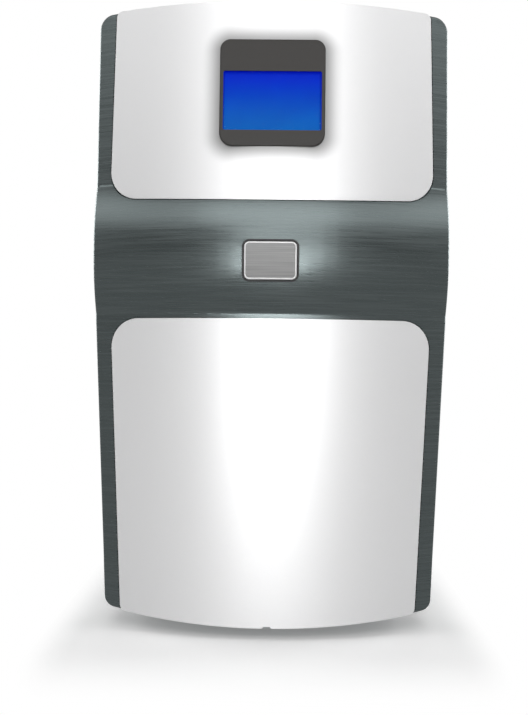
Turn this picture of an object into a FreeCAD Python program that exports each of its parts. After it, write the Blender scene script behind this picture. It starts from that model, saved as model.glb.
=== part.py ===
"""Benchtop ultrapure water system.

A bowed moulded front with a display panel, a push button on a projecting belt and a hinged
service door stands on a sheet-metal cabinet.  Behind the door four quarter-turn cartridges hang
from a manifold head; the cabinet behind and above them holds the reverse-osmosis vessel, the
ultraviolet chamber, the booster pump, the valves and the electronics.

Millimetres.  +Z up, the front faces -Y, X to the right.  While the pieces are made, Y = 0 is the
foremost line of the belt and Z = 0 the bench; every piece is then moved so that the origin lies
at the middle of the bottom of the whole machine.
"""
import FreeCAD, Part
import math
import os
from FreeCAD import Vector

os.makedirs("parts", exist_ok=True)

# ------------------------------------------------------------------ front moulding
front_width = 300.0          # over the belt
front_bottom = 8.0           # lowest point of the crowned bottom edge
lower_tall = 261.0           # bottom edge to the belt's lower crease
belt_tall = 108.0            # between the creases
upper_tall = 149.0           # upper crease to the top edge
belt_low = front_bottom + lower_tall
belt_high = belt_low + belt_tall
front_top = belt_high + upper_tall
front_radius = 290.0         # plan radius of the belt, about an upright axis
front_wall = 3.0
belt_bulge = 14.0            # belt ahead of the sections that it meets
crease_radius = 5.0
upper_lean = 4.0             # degrees, backwards going up
lower_lean = 2.0             # degrees, backwards going down
lower_taper = 10.0           # each side, from just below the lower crease to the bottom
front_edge_radius = 2.5      # rounding all round the front view
bottom_crown_radius = 1134.0
top_corner_radius = 12.0
bottom_corner_radius = 9.0
boss_radius = 4.5
boss_hole_radius = 1.3
boss_hole_depth = 14.0
boss_inset = 14.0            # boss centre from the moulding's side
screw_clearance = 0.4        # bulkhead hole larger than the boss hole, in radius
rib_thickness = 2.0
rib_depth = 12.0

# ------------------------------------------------------------------ white panels
panel_thickness = 2.5
panel_seat = 0.1             # curved seats are a hair apart
panel_edge_radius = 0.9
panel_gap = 1.2              # shadow gap round a panel
groove_depth = 1.0
groove_overlap = 0.5         # groove's reach under the panel's edge
upper_panel_drop = 15.5      # panel's lower edge below the upper crease
upper_panel_low = belt_high - upper_panel_drop
upper_panel_sag = 3.8        # the lower edge bows down in the middle
upper_panel_inset_low = 13.5     # panel's side inside the moulding's, at its lower edge
upper_panel_inset_high = 16.2    # and at the top
panel_corner_radius = 24.0
panel_small_radius = 5.0
door_margin = 14.6           # door edge to the moulding's side
door_top_drop = 5.0          # door's top edge below the lower crease
door_high = belt_low - door_top_drop
door_top_sag = 0.7
door_rise = 0.4              # door edge above the moulding's bottom edge
door_standoff = 0.4          # door's back to the moulding
finger_notch_width = 8.5
finger_notch_depth = 1.5
finger_notch_slope = 1.2

# ------------------------------------------------------------------ door opening, liner, hinges
ledge = 12.0                 # width of the ledge that the door closes on
bottom_ledge = 10.0
opening_radius = 14.0
liner_gap = 1.5
liner_swing_gap = 9.5        # hinge side: lets the liner's edge swing past the ledge
liner_thickness = 2.0
liner_rim = 2.0
liner_depth = 6.0
hinge_x = door_margin - front_width / 2
hinge_depth = 12.4           # pin behind the front surface
hinge_room = 29.0            # pin to the moulding's rear rim
hinge_drop = 49.0            # upper hinge below the door's top edge
hinge_rise = 62.0            # lower hinge above the bottom edge
hinge_heights = (door_high - hinge_drop, front_bottom + hinge_rise)
hinge_pin_radius = 2.0
pin_clearance = 0.05
pin_tip = 0.8                # pin's reach below the lower ear
pin_head = 1.2
hub_radius = 3.3
arm_height = 14.0
arm_inner_radius = 20.0
arm_thickness = 5.0
arm_back_angle = 65.0        # degrees, where the neck leaves the bow
arm_front_angle = 76.0       # degrees, where the bow meets the door
arm_foot_length = 30.0
foot_setback = 2.6           # foot's end behind the hinge slot's end
arm_foot_thickness = 3.0
foot_gap = 0.5               # liner clear of an arm's foot
hinge_gap = 0.3
ear_thickness = 2.0
bracket_width = 12.5
bracket_offset = 2.0         # plate's edge outside the pin
bracket_height = 40.0
bracket_thickness = 2.0
notch_clearance = 2.5        # hinge slot above and below an arm
notch_overlap = 3.4          # door over the end of a hinge slot
magnet_radius = 5.0
magnet_length = 4.0
magnet_wall = 2.0
magnet_inset = 24.0          # from the door's free edge
magnet_drop = 42.0           # upper magnet below the door's top edge
magnet_rise = 54.0           # lower magnet above the bottom edge
magnet_heights = (door_high - magnet_drop, front_bottom + magnet_rise)
magnet_clearance = 0.85      # magnet's face behind the liner's rim
magnet_gap = 0.3
strike_sheet = 1.5
strike_half_height = 9.0
strike_leg_inset = 4.0       # leg outside the door opening's edge
strike_foot = 8.0

# ------------------------------------------------------------------ display
display_width = 86.4
display_tall = 88.3
display_drop = 32.7          # frame's upper edge below the moulding's top
display_high = front_top - display_drop
display_low = display_high - display_tall
display_radius_high = 8.5
display_radius_low = 11.0
display_proud = 1.6
display_plate = 3.0
display_edge = 1.0
display_side = 9.0           # how far the frame's rim reaches back to the curved panel
skirt_inset = 0.8
skirt_wall = 1.2
skirt_depth = 18.0
skirt_gap = 0.3
window_side = 2.9            # frame beside the window
window_tall = 49.0
window_drop = 26.3           # frame above the window
window_width = display_width - 2 * window_side
window_high = display_high - window_drop
window_low = window_high - window_tall
window_thickness = 1.5
window_rebate = 0.5
window_radius = 1.5
lcd_gap = 0.5                # screen behind the frame's plate
lcd_thickness = 5.0
lcd_height_margin = 4.5
display_board_thickness = 1.6

# ------------------------------------------------------------------ push button
button_rise = 42.4           # centre above the lower crease
button_height = belt_low + button_rise
button_width = 43.0
button_tall = 30.7
button_corner = 4.5
button_proud = 1.0
button_cap_depth = 7.0
button_cap_wall = 2.2
button_edge = 1.2
button_gap = 0.5
button_travel = 3.0
collar_wall = 1.2
collar_depth = 30.0
collar_proud = 0.2
collar_flange = 4.0          # flange's reach beyond the collar
collar_flange_thickness = 2.0
guide_thickness = 4.0
guide_clearance = 0.08
stem_radius = 4.0
stem_length = 34.0
stem_seat = 0.9              # stem's end behind the cap's inner face
socket_wall = 1.5
spring_radius = 5.2
spring_wire_radius = 0.5
spring_turns = 5
switch_width = 20.0
switch_tall = 10.5
switch_deep = 16.0
switch_plunger_radius = 1.6
switch_rest_gap = 0.5
switch_side = 4.0            # bracket wider than the switch, each side
switch_foot_tall = 16.0
switch_plate = 1.5

# ------------------------------------------------------------------ cabinet
cabinet_depth = 420.0        # belt to the rear panel's outer face
cabinet_step = 12.0          # cabinet's side inside the moulding's
cabinet_top_step = 6.0
cabinet_half_width = front_width / 2 - cabinet_step
cabinet_top = front_top - cabinet_top_step
sheet = 1.5
fold_gap = 0.2               # tray and shelf to the cover
bulkhead_thickness = 2.0
bulkhead_inset = 1.0
cover_bend = 8.0
foot_height = 16.0
foot_radius = 16.0
foot_taper = 2.0             # narrower at the bench, in radius
foot_edge = 1.5
foot_inset = 34.0            # foot's centre from the cabinet's sides, front and back
tray_flange = 11.0
shelf_rise = 31.0            # shelf above the lower crease
shelf_height = belt_low + shelf_rise
shelf_flange = 12.0
bay_side = 14.0              # liner's wall inside the cabinet's side
bay_half_width = cabinet_half_width - bay_side
bay_depth = 74.0
bay_lip = 3.0                # bulkhead's edge inside the liner's wall
bay_head = 6.0               # bulkhead's opening below the door's top edge
bay_corner_radius = 8.0
wiring_half_width = 90.0     # window in the bulkhead behind the display
wiring_rise = 20.0           # its sill below the upper crease
wiring_drop = 40.0           # its head below the cabinet's top
cable_slot_width = 48.0      # slot in the shelf
cable_slot_depth = 40.0
vent_slot = 4.0              # height of a louvre slot
tray_vent_count = 7
tray_vent_length = 80.0
tray_vent_pitch = 12.0
side_vent_count = 8
side_vent_length = 70.0
side_vent_pitch = 10.0
vent_margin = 40.0           # slots from the rear edge and above the shelf
rear_vent_count = 7
rear_vent_length = 120.0
rear_vent_pitch = 11.0
rear_vent_low = 200.0
cover_gap = 0.5              # cover's lower edge above the feet
cover_screw_radius = 3.0
cover_screw_head = 1.6
cover_screw_inset = 20.0

# ------------------------------------------------------------------ cartridges and manifold
cartridge_count = 4
cartridge_side_gap = 2.0     # row's end to the bay's side
cartridge_gap = 7.0          # between two canisters
cartridge_pitch = 2 * (bay_half_width - cartridge_side_gap) / cartridge_count
cartridge_radius = (cartridge_pitch - cartridge_gap) / 2
cartridge_lift = 28.5        # canister's foot above the tray
cartridge_foot_radius = 8.0
shoulder_tall = 16.0
neck_radius = 15.0
neck_tall = 24.0             # neck below the manifold
neck_gap = 0.4
neck_engagement = 13.0
lug_reach = 3.0
lug_width = 8.0
lug_height = 4.0
lug_drop = 2.0               # lug below the manifold
flute_radius = 3.0
flute_count = 10
flute_length = 22.0
manifold_tall = 32.0
manifold_end_gap = 4.0
manifold_low = shelf_height - manifold_tall
manifold_half_length = bay_half_width - manifold_end_gap
manifold_depth = 56.0
cell_radius = 7.0
cell_length = 42.0
cell_thread = 10.0
cell_thread_radius = 5.0
cell_places = (-cartridge_pitch, 0.0)

# ------------------------------------------------------------------ water treatment behind the bay
service_gap = 42.0           # bay's back wall to the lamp's axis and the pump's face
vessel_side = 54.0           # lamp and membrane vessel from the cabinet's side
uv_radius = 25.0
uv_foot_gap = 4.5
uv_head_gap = 10.0
uv_stub_radius = 5.0
uv_stub_reach = 14.0
uv_stub_inset = 12.0         # side stub from the chamber's end
end_cap_wall = 3.0
end_cap_height = 18.0
end_cap_edge = 1.5
clamp_thickness = 3.0
clamp_height = 14.0
clamp_inset = 20.0
clamp_arm_width = 20.0
ro_radius = 29.0
ro_rear_inset = 90.0
ro_cap_height = 22.0
pump_side = 72.0             # pump's axis from the cabinet's side
pump_port_radius = 6.0
pump_port_reach = 14.0
pump_port_inset = 16.0       # ports behind the head's face
pump_port_rise = 12.0        # and above the axis
pump_motor_radius = 30.0
pump_motor_length = 86.0
pump_head_size = 66.0
pump_head_corner = 8.0
motor_rim_radius = 4.0
pump_head_length = 46.0
pump_boss_radius = 9.0
pump_boss_length = 4.0
pump_bracket_thickness = 3.0
saddle_width = 44.0
saddle_inset = 14.0          # saddle from the motor's ends
saddle_drop = 12.0           # its upper corners below the axis
mount_radius = 8.0
mount_height = 9.0
mount_inset = 10.0
valve_count = 3
valve_pitch = 36.0
valve_size = 28.0
valve_body_height = 24.0
coil_height = 34.0
coil_nut_radius = 5.0
coil_nut_height = 4.0
valve_port_radius = 5.0
valve_port_reach = 6.0
valve_port_rise = 12.0
valve_inset = 36.0           # first valve from the cabinet's side and back

# ------------------------------------------------------------------ electronics on the shelf
supply_length = 159.0
supply_width = 97.0
supply_height = 38.0
supply_vent_count = 9
supply_vent_start = 30.0
supply_vent_pitch = 13.0
supply_vent_side = 14.0
supply_edge = 1.5
board_length = 140.0
board_width = 104.0
board_thickness = 1.6
standoff_height = 8.0
standoff_radius = 3.0
standoff_inset = 5.0
ballast_length = 150.0
ballast_width = 40.0
ballast_height = 30.0
electronics_gap = 12.0

# ------------------------------------------------------------------ rear connections
port_spacing = 34.0
port_inset = 36.0            # first column from the cabinet's side
port_height = 120.0
port_bore_radius = 3.25
port_bore_length = 17.0
port_body_radius = 7.5
port_body_length = 20.0
port_stub_step = 1.5         # stub thinner than the body, in radius
port_hole_clearance = 0.1
collet_radius = 5.4
collet_length = 3.0
port_nut_across = 19.0
port_nut_length = 6.0
port_stub_length = 24.0
inlet_inset = 54.0           # inlet's middle from the cabinet's side
inlet_drop = 100.0           # and below its top
inlet_flange_width = 50.0
inlet_flange_tall = 27.0
inlet_flange_thickness = 3.0
inlet_cavity_width = 24.2
inlet_cavity_tall = 16.4
inlet_cavity_depth = 18.0
inlet_wall = 1.9
inlet_depth = 26.0
inlet_corner = 5.0           # cut corners of the cavity
pin_spacing = 7.0
pin_offset = 2.0             # earth pin above the middle, the other two below
pin_thickness = 2.0
pin_width = 4.0
pin_length = 14.0
switch_spacing = 54.0        # power switch beside the inlet
rocker_width = 13.0
rocker_tall = 19.0
rocker_tilt = 10.0           # degrees each side of level
rocker_gap = 0.4
rocker_frame_wall = 2.2
rocker_frame_depth = 20.0
rocker_flange = 1.5          # frame taller than its body, at each end
rocker_body_wall = 1.2
rocker_end_gap = 0.8
rocker_face_rise = 0.4       # middle of the rocker's face beyond the frame
rocker_root = 3.0            # rocker's back behind the pivot
rocker_root_inset = 1.5
rocker_pivot_depth = 3.5
rocker_pivot_radius = 1.5
rocker_pivot_reach = 0.7     # trunnion into the frame

# ------------------------------------------------------------------ worked-out places
belt_middle = (belt_low + belt_high) / 2
belt_radius = ((belt_tall / 2) ** 2 + belt_bulge ** 2) / (2 * belt_bulge)


# How far each part of the front stands behind the belt's foremost line, on the middle line.
def upper_setback(z):
    return belt_bulge + (z - belt_high) * math.tan(math.radians(upper_lean))


def lower_setback(z):
    return belt_bulge + (belt_low - z) * math.tan(math.radians(lower_lean))


def belt_setback(z):
    return belt_radius - math.sqrt(belt_radius ** 2 - (z - belt_middle) ** 2)


def surface_y(setback, offset, x, z):
    """Y of a leaning section's surface at a place in the front view."""
    radius = front_radius - setback(z) + offset
    return front_radius - math.sqrt(radius ** 2 - x ** 2)


hinge_y = surface_y(lower_setback, 0, hinge_x, sum(hinge_heights) / 2) + hinge_depth
front_depth = math.ceil(hinge_y + hinge_room)   # belt to the moulding's rear rim, whole mm
cabinet_front = front_depth + bulkhead_thickness
cover_back = cabinet_depth - sheet
tray_top = foot_height + sheet
bay_back = cabinet_front + bay_depth
cartridge_y = cabinet_front + bay_depth / 2
cartridge_low = tray_top + cartridge_lift
neck_low = manifold_low - neck_tall
manifold_back = cartridge_y + manifold_depth / 2
cell_height = (manifold_low + shelf_height) / 2
uv_x = cabinet_half_width - vessel_side
uv_y = bay_back + service_gap
uv_low = tray_top + uv_foot_gap + end_cap_height
uv_high = shelf_height - uv_head_gap - end_cap_height
ro_x = uv_x
ro_y = cabinet_depth - ro_rear_inset
pump_x = pump_side - cabinet_half_width
pump_front_y = bay_back + service_gap
pump_plate_low = tray_top + mount_height
pump_axis_height = pump_plate_low + pump_bracket_thickness + pump_head_size / 2
motor_start = pump_front_y + pump_head_length
valve_x = valve_inset - cabinet_half_width
valve_y = cabinet_depth - valve_inset
port_x = port_inset - cabinet_half_width
inlet_x = cabinet_half_width - inlet_inset
inlet_height = cabinet_top - inlet_drop
switch_x = inlet_x - switch_spacing
rear_most = cabinet_depth + port_body_length + collet_length
front_most = -button_proud
origin_shift = Vector(0, -(rear_most + front_most) / 2, 0)
UP = Vector(0, 0, 1)
BACK = Vector(0, 1, 0)
RIGHT = Vector(1, 0, 0)
AXIS_FOOT = Vector(0, front_radius, 0)
FAR = 60.0                   # reach of a cutting solid past what it cuts


# ------------------------------------------------------------------ helpers
def box(x0, x1, y0, y1, z0, z1):
    return Part.makeBox(x1 - x0, y1 - y0, z1 - z0, Vector(x0, y0, z0))


def rod(radius, length, start, direction):
    return Part.makeCylinder(radius, length, start, direction)


def edges_along(shape, direction):
    """Straight edges of a shape that run along a direction."""
    found = []
    for edge in shape.Edges:
        if edge.Curve.TypeId != "Part::GeomLine":
            continue
        run = edge.Vertexes[-1].Point - edge.Vertexes[0].Point
        if run.cross(direction).Length < 1e-6 * max(run.Length, 1.0):
            found.append(edge)
    return found


def rounded_box(x0, x1, y0, y1, z0, z1, direction, radius):
    """A box whose edges along one direction are rounded."""
    block = box(x0, x1, y0, y1, z0, z1)
    return block.makeFillet(radius, edges_along(block, direction))


def upright_outline(corners, sags, y0, y1, radii):
    """A front-view outline as a prism along Y.

    Each side runs from one (x, z) corner to the next and may bow outwards by a sag; each corner
    has its own radius.
    """
    sides = []
    for (start, sag), end in zip(zip(corners, sags), corners[1:] + corners[:1]):
        a = Vector(start[0], y0, start[1])
        b = Vector(end[0], y0, end[1])
        if sag == 0:
            sides.append(Part.LineSegment(a, b).toShape())
            continue
        outward = BACK.cross(b - a).normalize()
        sides.append(Part.Arc(a, (a + b) / 2 + outward * sag, b).toShape())
    prism = Part.Face(Part.Wire(sides)).extrude(Vector(0, y1 - y0, 0))
    for (x, z), radius in zip(corners, radii):
        near = [e for e in edges_along(prism, BACK)
                if abs(e.Vertexes[0].X - x) < 0.01 and abs(e.Vertexes[0].Z - z) < 0.01]
        if radius > 0:
            prism = prism.makeFillet(radius, near)
    return prism


def keyed(shapes):
    """Several separate solids that share one node."""
    return Part.makeCompound(shapes)


def fused(shapes):
    return shapes[0].multiFuse(shapes[1:]).removeSplitter()


def save(name, shape):
    placed = shape.copy()
    placed.translate(origin_shift)
    placed.exportStep("parts/" + name + ".step")
    print(name, len(placed.Solids), round(placed.Volume / 1000, 2), "cm3")


# ------------------------------------------------------------------ the bowed front surface
def crease_blend(corner, run, centre, radius):
    """Concave blend between a straight section and the belt's arc, in the (y, z) plane.

    Returns its point on the straight section, a point half way and its point on the arc.
    """
    outward = (-abs(run[1]), run[0] * math.copysign(1.0, run[1]))
    away = [corner[i] + crease_radius * outward[i] - centre[i] for i in (0, 1)]
    along = away[0] * run[0] + away[1] * run[1]
    reach = radius + crease_radius
    slide = math.sqrt(along ** 2 - away[0] ** 2 - away[1] ** 2 + reach ** 2) - along
    on_line = [corner[i] + slide * run[i] for i in (0, 1)]
    pivot = [on_line[i] + crease_radius * outward[i] for i in (0, 1)]
    on_arc = [centre[i] + (pivot[i] - centre[i]) * radius / reach for i in (0, 1)]
    half = [(on_line[i] + on_arc[i]) / 2 - pivot[i] for i in (0, 1)]
    length = math.hypot(half[0], half[1])
    middle = [pivot[i] + half[i] * crease_radius / length for i in (0, 1)]
    return on_line, middle, on_arc


def half_turn(sides):
    """Turns a closed side profile through half a circle about the upright axis."""
    profile = Part.Face(Part.Wire([side.toShape() for side in sides]))
    profile.rotate(AXIS_FOOT, UP, 90)
    return profile.revolve(AXIS_FOOT, UP, -180)


def turned_front(offset):
    """Everything behind the front surface moved outwards by an offset: leaning section, belt,
    leaning section, with a blend in each crease."""
    centre = (belt_radius, belt_middle)
    up = (math.sin(math.radians(upper_lean)), math.cos(math.radians(upper_lean)))
    down = (math.sin(math.radians(lower_lean)), -math.cos(math.radians(lower_lean)))
    high = crease_blend((belt_bulge, belt_high), up, centre, belt_radius)
    low = crease_blend((belt_bulge, belt_low), down, centre, belt_radius)
    top = front_top + FAR
    bottom = front_bottom - FAR

    def at(point):
        return Vector(0, point[0] - offset, point[1])

    foot = at((upper_setback(top), top))
    heel = at((lower_setback(bottom), bottom))
    axis_top = Vector(0, front_radius, top)
    axis_bottom = Vector(0, front_radius, bottom)
    return half_turn([
        Part.LineSegment(axis_bottom, heel),
        Part.LineSegment(heel, at(low[0])),
        Part.Arc(at(low[0]), at(low[1]), at(low[2])),
        Part.Arc(at(low[2]), at((0.0, belt_middle)), at(high[2])),
        Part.Arc(at(high[2]), at(high[1]), at(high[0])),
        Part.LineSegment(at(high[0]), foot),
        Part.LineSegment(foot, axis_top),
        Part.LineSegment(axis_top, axis_bottom),
    ])


def turned_belt():
    """The belt alone, a little taller than its two creases."""
    low = belt_low - crease_radius
    high = belt_high + crease_radius
    start = Vector(0, belt_setback(low), low)
    end = Vector(0, belt_setback(high), high)
    axis_top = Vector(0, front_radius, high)
    axis_bottom = Vector(0, front_radius, low)
    return half_turn([
        Part.LineSegment(axis_bottom, start),
        Part.Arc(start, Vector(0, 0, belt_middle), end),
        Part.LineSegment(end, axis_top),
        Part.LineSegment(axis_top, axis_bottom),
    ])


def turned_section(setback, offset):
    """The leaning section's surface alone, carried on past its crease."""
    top = front_top + FAR
    bottom = front_bottom - FAR
    low = front_radius - setback(bottom) + offset
    high = front_radius - setback(top) + offset
    return Part.makeCone(low, high, top - bottom, Vector(0, front_radius, bottom), UP)


def upper_surface(offset):
    return turned_section(upper_setback, offset)


def lower_surface(offset):
    return turned_section(lower_setback, offset)


# ------------------------------------------------------------------ front-view outlines
taper_high = belt_low - crease_radius


def half_width_at(z):
    drop = max(0.0, taper_high - z) / (taper_high - front_bottom)
    return front_width / 2 - lower_taper * drop


def crown_rise(x):
    return bottom_crown_radius - math.sqrt(bottom_crown_radius ** 2 - x ** 2)


def body_outline(inset, y0, y1):
    low = front_bottom + inset
    corner_z = low + crown_rise(front_width / 2 - lower_taper - inset)
    low_x = half_width_at(corner_z) - inset
    high_x = front_width / 2 - inset
    high = front_top - inset
    corners = [(-low_x, corner_z), (low_x, corner_z), (high_x, taper_high),
               (high_x, high), (-high_x, high), (-high_x, taper_high)]
    sags = [corner_z - low, 0, 0, 0, 0, 0]
    low_r = max(bottom_corner_radius - inset, 1.0)
    high_r = max(top_corner_radius - inset, 1.0)
    return upright_outline(corners, sags, y0, y1, [low_r, low_r, 0, high_r, high_r, 0])


def upper_panel_outline(grow, y0, y1):
    low = upper_panel_low + upper_panel_sag - grow
    high = front_top - panel_seat + grow
    low_x = front_width / 2 - upper_panel_inset_low + grow
    high_x = front_width / 2 - upper_panel_inset_high + grow
    corners = [(-low_x, low), (low_x, low), (high_x, high), (-high_x, high)]
    radii = [panel_corner_radius + grow] * 2 + [panel_small_radius + grow] * 2
    return upright_outline(corners, [upper_panel_sag, 0, 0, 0], y0, y1, radii)


def door_outline(grow, y0, y1):
    return lower_panel_outline([-grow] * 4, y0, y1, panel_corner_radius + grow,
                               panel_small_radius + grow)


def lower_panel_outline(insets, y0, y1, high_r, low_r):
    """The door's outline drawn in by its own amount at the left, right, top and bottom."""
    left, right, top, bottom = insets
    middle_low = front_bottom + door_rise + bottom
    corner_z = middle_low + crown_rise(front_width / 2 - lower_taper - door_margin)
    high = door_high - top
    low_x = half_width_at(corner_z) - door_margin
    high_x = half_width_at(high) - door_margin
    corners = [(-low_x + left, corner_z), (low_x - right, corner_z),
               (high_x - right, high), (-high_x + left, high)]
    sags = [corner_z - middle_low, 0, door_top_sag, 0]
    return upright_outline(corners, sags, y0, y1, [low_r, low_r, high_r, high_r])


def door_opening(grow, y0, y1):
    insets = [ledge - grow, ledge - grow, ledge - grow, bottom_ledge - grow]
    return lower_panel_outline(insets, y0, y1, opening_radius + grow, opening_radius + grow)


# ------------------------------------------------------------------ display frame
display_middle = (display_low + display_high) / 2


def leaned(shape):
    """Lean a piece drawn upright about the display's middle back with the upper section."""
    turned = shape.copy()
    pivot = Vector(0, upper_setback(display_middle), display_middle)
    turned.rotate(pivot, RIGHT, -upper_lean)
    return turned


display_face = upper_setback(display_middle) - panel_seat - panel_thickness - display_proud


def display_block(x, low, high, y0, y1, low_r, high_r):
    corners = [(-x, low), (x, low), (x, high), (-x, high)]
    return upright_outline(corners, [0] * 4, y0, y1, [low_r, low_r, high_r, high_r])


def skirt_block(grow, y0, y1):
    inset = skirt_inset - grow
    return display_block(display_width / 2 - inset, display_low + inset, display_high - inset,
                         y0, y1, display_radius_low - skirt_inset + grow,
                         display_radius_high - skirt_inset + grow)


def window_block(grow, y0, y1):
    radius = window_radius + grow
    return display_block(window_width / 2 + grow, window_low - grow, window_high + grow,
                         y0, y1, radius, radius)


def display_bezel():
    """Flat-faced frame whose rim is trimmed to the curved panel, with a skirt through it."""
    rim_end = display_face + display_side
    block = display_block(display_width / 2, display_low, display_high, display_face, rim_end,
                          display_radius_low, display_radius_high)
    front_edges = [e for e in block.Edges if abs(e.BoundBox.YMax - display_face) < 1e-3]
    block = leaned(block.makeFillet(display_edge, front_edges))
    block = block.cut(upper_surface(panel_thickness + 2 * panel_seat))
    skirt_start = display_face + display_plate / 2
    skirt_end = display_face + skirt_depth
    frame = block.fuse(leaned(skirt_block(0, skirt_start, skirt_end)))
    hollow = skirt_block(-skirt_wall, display_face + display_plate, skirt_end + 1)
    opening = window_block(0, display_face - 1, display_face + display_plate + 1)
    rebate = window_block(window_rebate, display_face + window_thickness / 2,
                          display_face + display_plate + 1)
    for cutter in (hollow, opening, rebate):
        frame = frame.cut(leaned(cutter))
    return frame.removeSplitter()


def display_window():
    start = display_face + window_thickness / 2 + panel_seat
    return leaned(window_block(window_rebate - panel_seat, start, start + window_thickness))


lcd_front = display_face + display_plate + lcd_gap


def lcd_screen():
    half = window_width / 2 + window_rebate - panel_seat
    return leaned(display_block(half, window_low - lcd_height_margin,
                                window_high + lcd_height_margin, lcd_front,
                                lcd_front + lcd_thickness, 1, 1))


def display_board():
    start = lcd_front + lcd_thickness
    inset = skirt_inset + skirt_wall + panel_seat
    board = display_block(display_width / 2 - inset, display_low + inset,
                          display_high - inset, start, start + display_board_thickness,
                          display_radius_low - inset, display_radius_high - inset)
    return leaned(board)


# ------------------------------------------------------------------ front moulding
def boss_places():
    """Screw bosses of the front moulding, in the front view."""
    high = front_top - boss_inset
    upper = front_width / 2 - boss_inset
    crease = belt_low + boss_inset
    return [(-upper, high), (upper, high), (-upper, crease), (upper, crease)]


def panel_groove(outline, surface):
    """Shadow groove that follows a panel's edge."""
    ring = outline(panel_gap, -FAR, front_depth).cut(
        outline(-groove_overlap, -FAR, front_depth))
    return ring.cut(surface(-groove_depth))


def hinge_notch(height):
    edge = -(half_width_at(height) - door_margin) + notch_overlap
    half = arm_height / 2 + notch_clearance
    return box(edge, edge + ledge + liner_swing_gap, 0, front_depth - bulkhead_thickness,
               height - half, height + half)


def rounded_section(section):
    """One section of the front, cut to the front view and rounded along that cut."""
    block = section.common(body_outline(0, -FAR, front_depth))
    rim = []
    for edge in block.Edges:
        kinds = [face.Surface.TypeId for face in block.ancestorsOfType(edge, Part.Face)]
        turned = [kind for kind in kinds if kind in ("Part::GeomCone", "Part::GeomToroid")]
        lengthwise = edge.BoundBox.ZLength > 0.5 or edge.BoundBox.XLength > front_width / 2
        if len(turned) == 1 and edge.BoundBox.YMax < front_depth - 1 and lengthwise:
            rim.append(edge)
    return block.makeFillet(front_edge_radius, rim)


def outer_front():
    """Belt and both leaning sections with a rounded rim, the blends in the two creases, and a
    seat that keeps the moulding whole under the upper panel."""
    above = box(-front_width, front_width, -FAR, front_depth, belt_middle, front_top + 1)
    below = box(-front_width, front_width, -FAR, front_depth, front_bottom - 1, belt_middle)
    creases = []
    for height in (belt_low, belt_high):
        creases.append(box(-front_width, front_width, -FAR, front_depth,
                           height - crease_radius, height + crease_radius))
    blends = turned_front(0).common(body_outline(front_edge_radius, -FAR, front_depth))
    seat = upper_surface(-panel_seat).common(
        upper_panel_outline(panel_seat, -FAR, front_depth))
    pieces = [rounded_section(turned_belt()), seat.common(above),
              rounded_section(upper_surface(0)).common(above),
              rounded_section(lower_surface(0)).common(below)]
    return fused(pieces + [blends.common(crease) for crease in creases])


def front_fascia():
    outer = outer_front()
    inner = turned_front(-front_wall).common(body_outline(front_wall, -FAR, front_depth + 1))
    shell = outer.cut(inner)
    backing = outer.common(upper_panel_outline(front_wall, -FAR, front_depth)).cut(
        upper_surface(-front_wall))
    bosses = [rod(boss_radius, front_depth, Vector(x, 0, z), BACK).common(inner)
              for x, z in boss_places()]
    ribs = []
    for height in (belt_low + rib_depth, belt_high - rib_depth):
        slab = box(-front_width, front_width, -FAR, front_depth,
                   height - rib_thickness / 2, height + rib_thickness / 2)
        ribs.append(slab.common(inner).cut(turned_front(-front_wall - rib_depth)))
    body = shell.multiFuse([backing] + bosses + ribs)
    near_belt = box(-front_width, front_width, -FAR, front_depth,
                    upper_panel_low - 2 * panel_gap, belt_high + 2 * crease_radius)
    pocket = upper_panel_outline(panel_gap, -FAR, front_depth).common(near_belt).cut(
        upper_surface(0))
    cutters = [
        pocket,
        panel_groove(upper_panel_outline, upper_surface),
        panel_groove(door_outline, lower_surface),
        door_opening(0, -FAR, front_depth + 1),
        leaned(skirt_block(skirt_gap, -FAR, front_depth)),
        button_block(button_gap + collar_wall + panel_seat, -FAR, front_depth),
    ]
    cutters += [hinge_notch(height) for height in hinge_heights]
    cutters += [rod(boss_hole_radius, boss_hole_depth,
                    Vector(x, front_depth - boss_hole_depth, z), BACK)
                for x, z in boss_places()]
    for cutter in cutters:
        body = body.cut(cutter)
    return body.removeSplitter()


# ------------------------------------------------------------------ white panels
def upper_panel():
    sheet_ = upper_surface(panel_seat + panel_thickness).cut(upper_surface(panel_seat))
    plate = sheet_.common(upper_panel_outline(0, -FAR, front_depth))
    plate = soften(plate)
    return plate.cut(leaned(skirt_block(skirt_gap, -FAR, front_depth)))


def soften(plate):
    """Round a curved panel's outer edge all the way round."""
    outer_face = max(plate.Faces, key=lambda face: face.Area)
    return plate.makeFillet(panel_edge_radius, outer_face.Edges)


def door_panel():
    sheet_ = lower_surface(door_standoff + panel_thickness).cut(lower_surface(door_standoff))
    plate = sheet_.common(door_outline(0, -FAR, front_depth))
    plate = soften(plate)
    low = front_bottom + door_rise
    half = finger_notch_width / 2
    top = half - finger_notch_slope
    notch = upright_outline([(-half, low - 1), (half, low - 1),
                             (top, low + finger_notch_depth),
                             (-top, low + finger_notch_depth)],
                            [0] * 4, -FAR, front_depth, [0] * 4)
    return plate.cut(notch)


def liner_outline(draw_in, y0, y1):
    insets = [ledge + liner_swing_gap + draw_in, ledge + liner_gap + draw_in,
              ledge + liner_gap + draw_in, bottom_ledge + liner_gap + draw_in]
    radius = opening_radius - draw_in
    return lower_panel_outline(insets, y0, y1, radius, radius)


def magnet_places():
    places = []
    for height in magnet_heights:
        places.append((half_width_at(height) - door_margin - magnet_inset, height))
    return places


def liner_back(height):
    """Y of the liner's rim where it comes nearest to the strikes, at the door's free edge."""
    edge = half_width_at(height) - door_margin - ledge - liner_gap
    return surface_y(lower_setback, door_standoff - panel_seat - liner_thickness - liner_depth,
                     edge, height)


magnet_face = max(liner_back(height) for height in magnet_heights) + magnet_clearance


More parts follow.
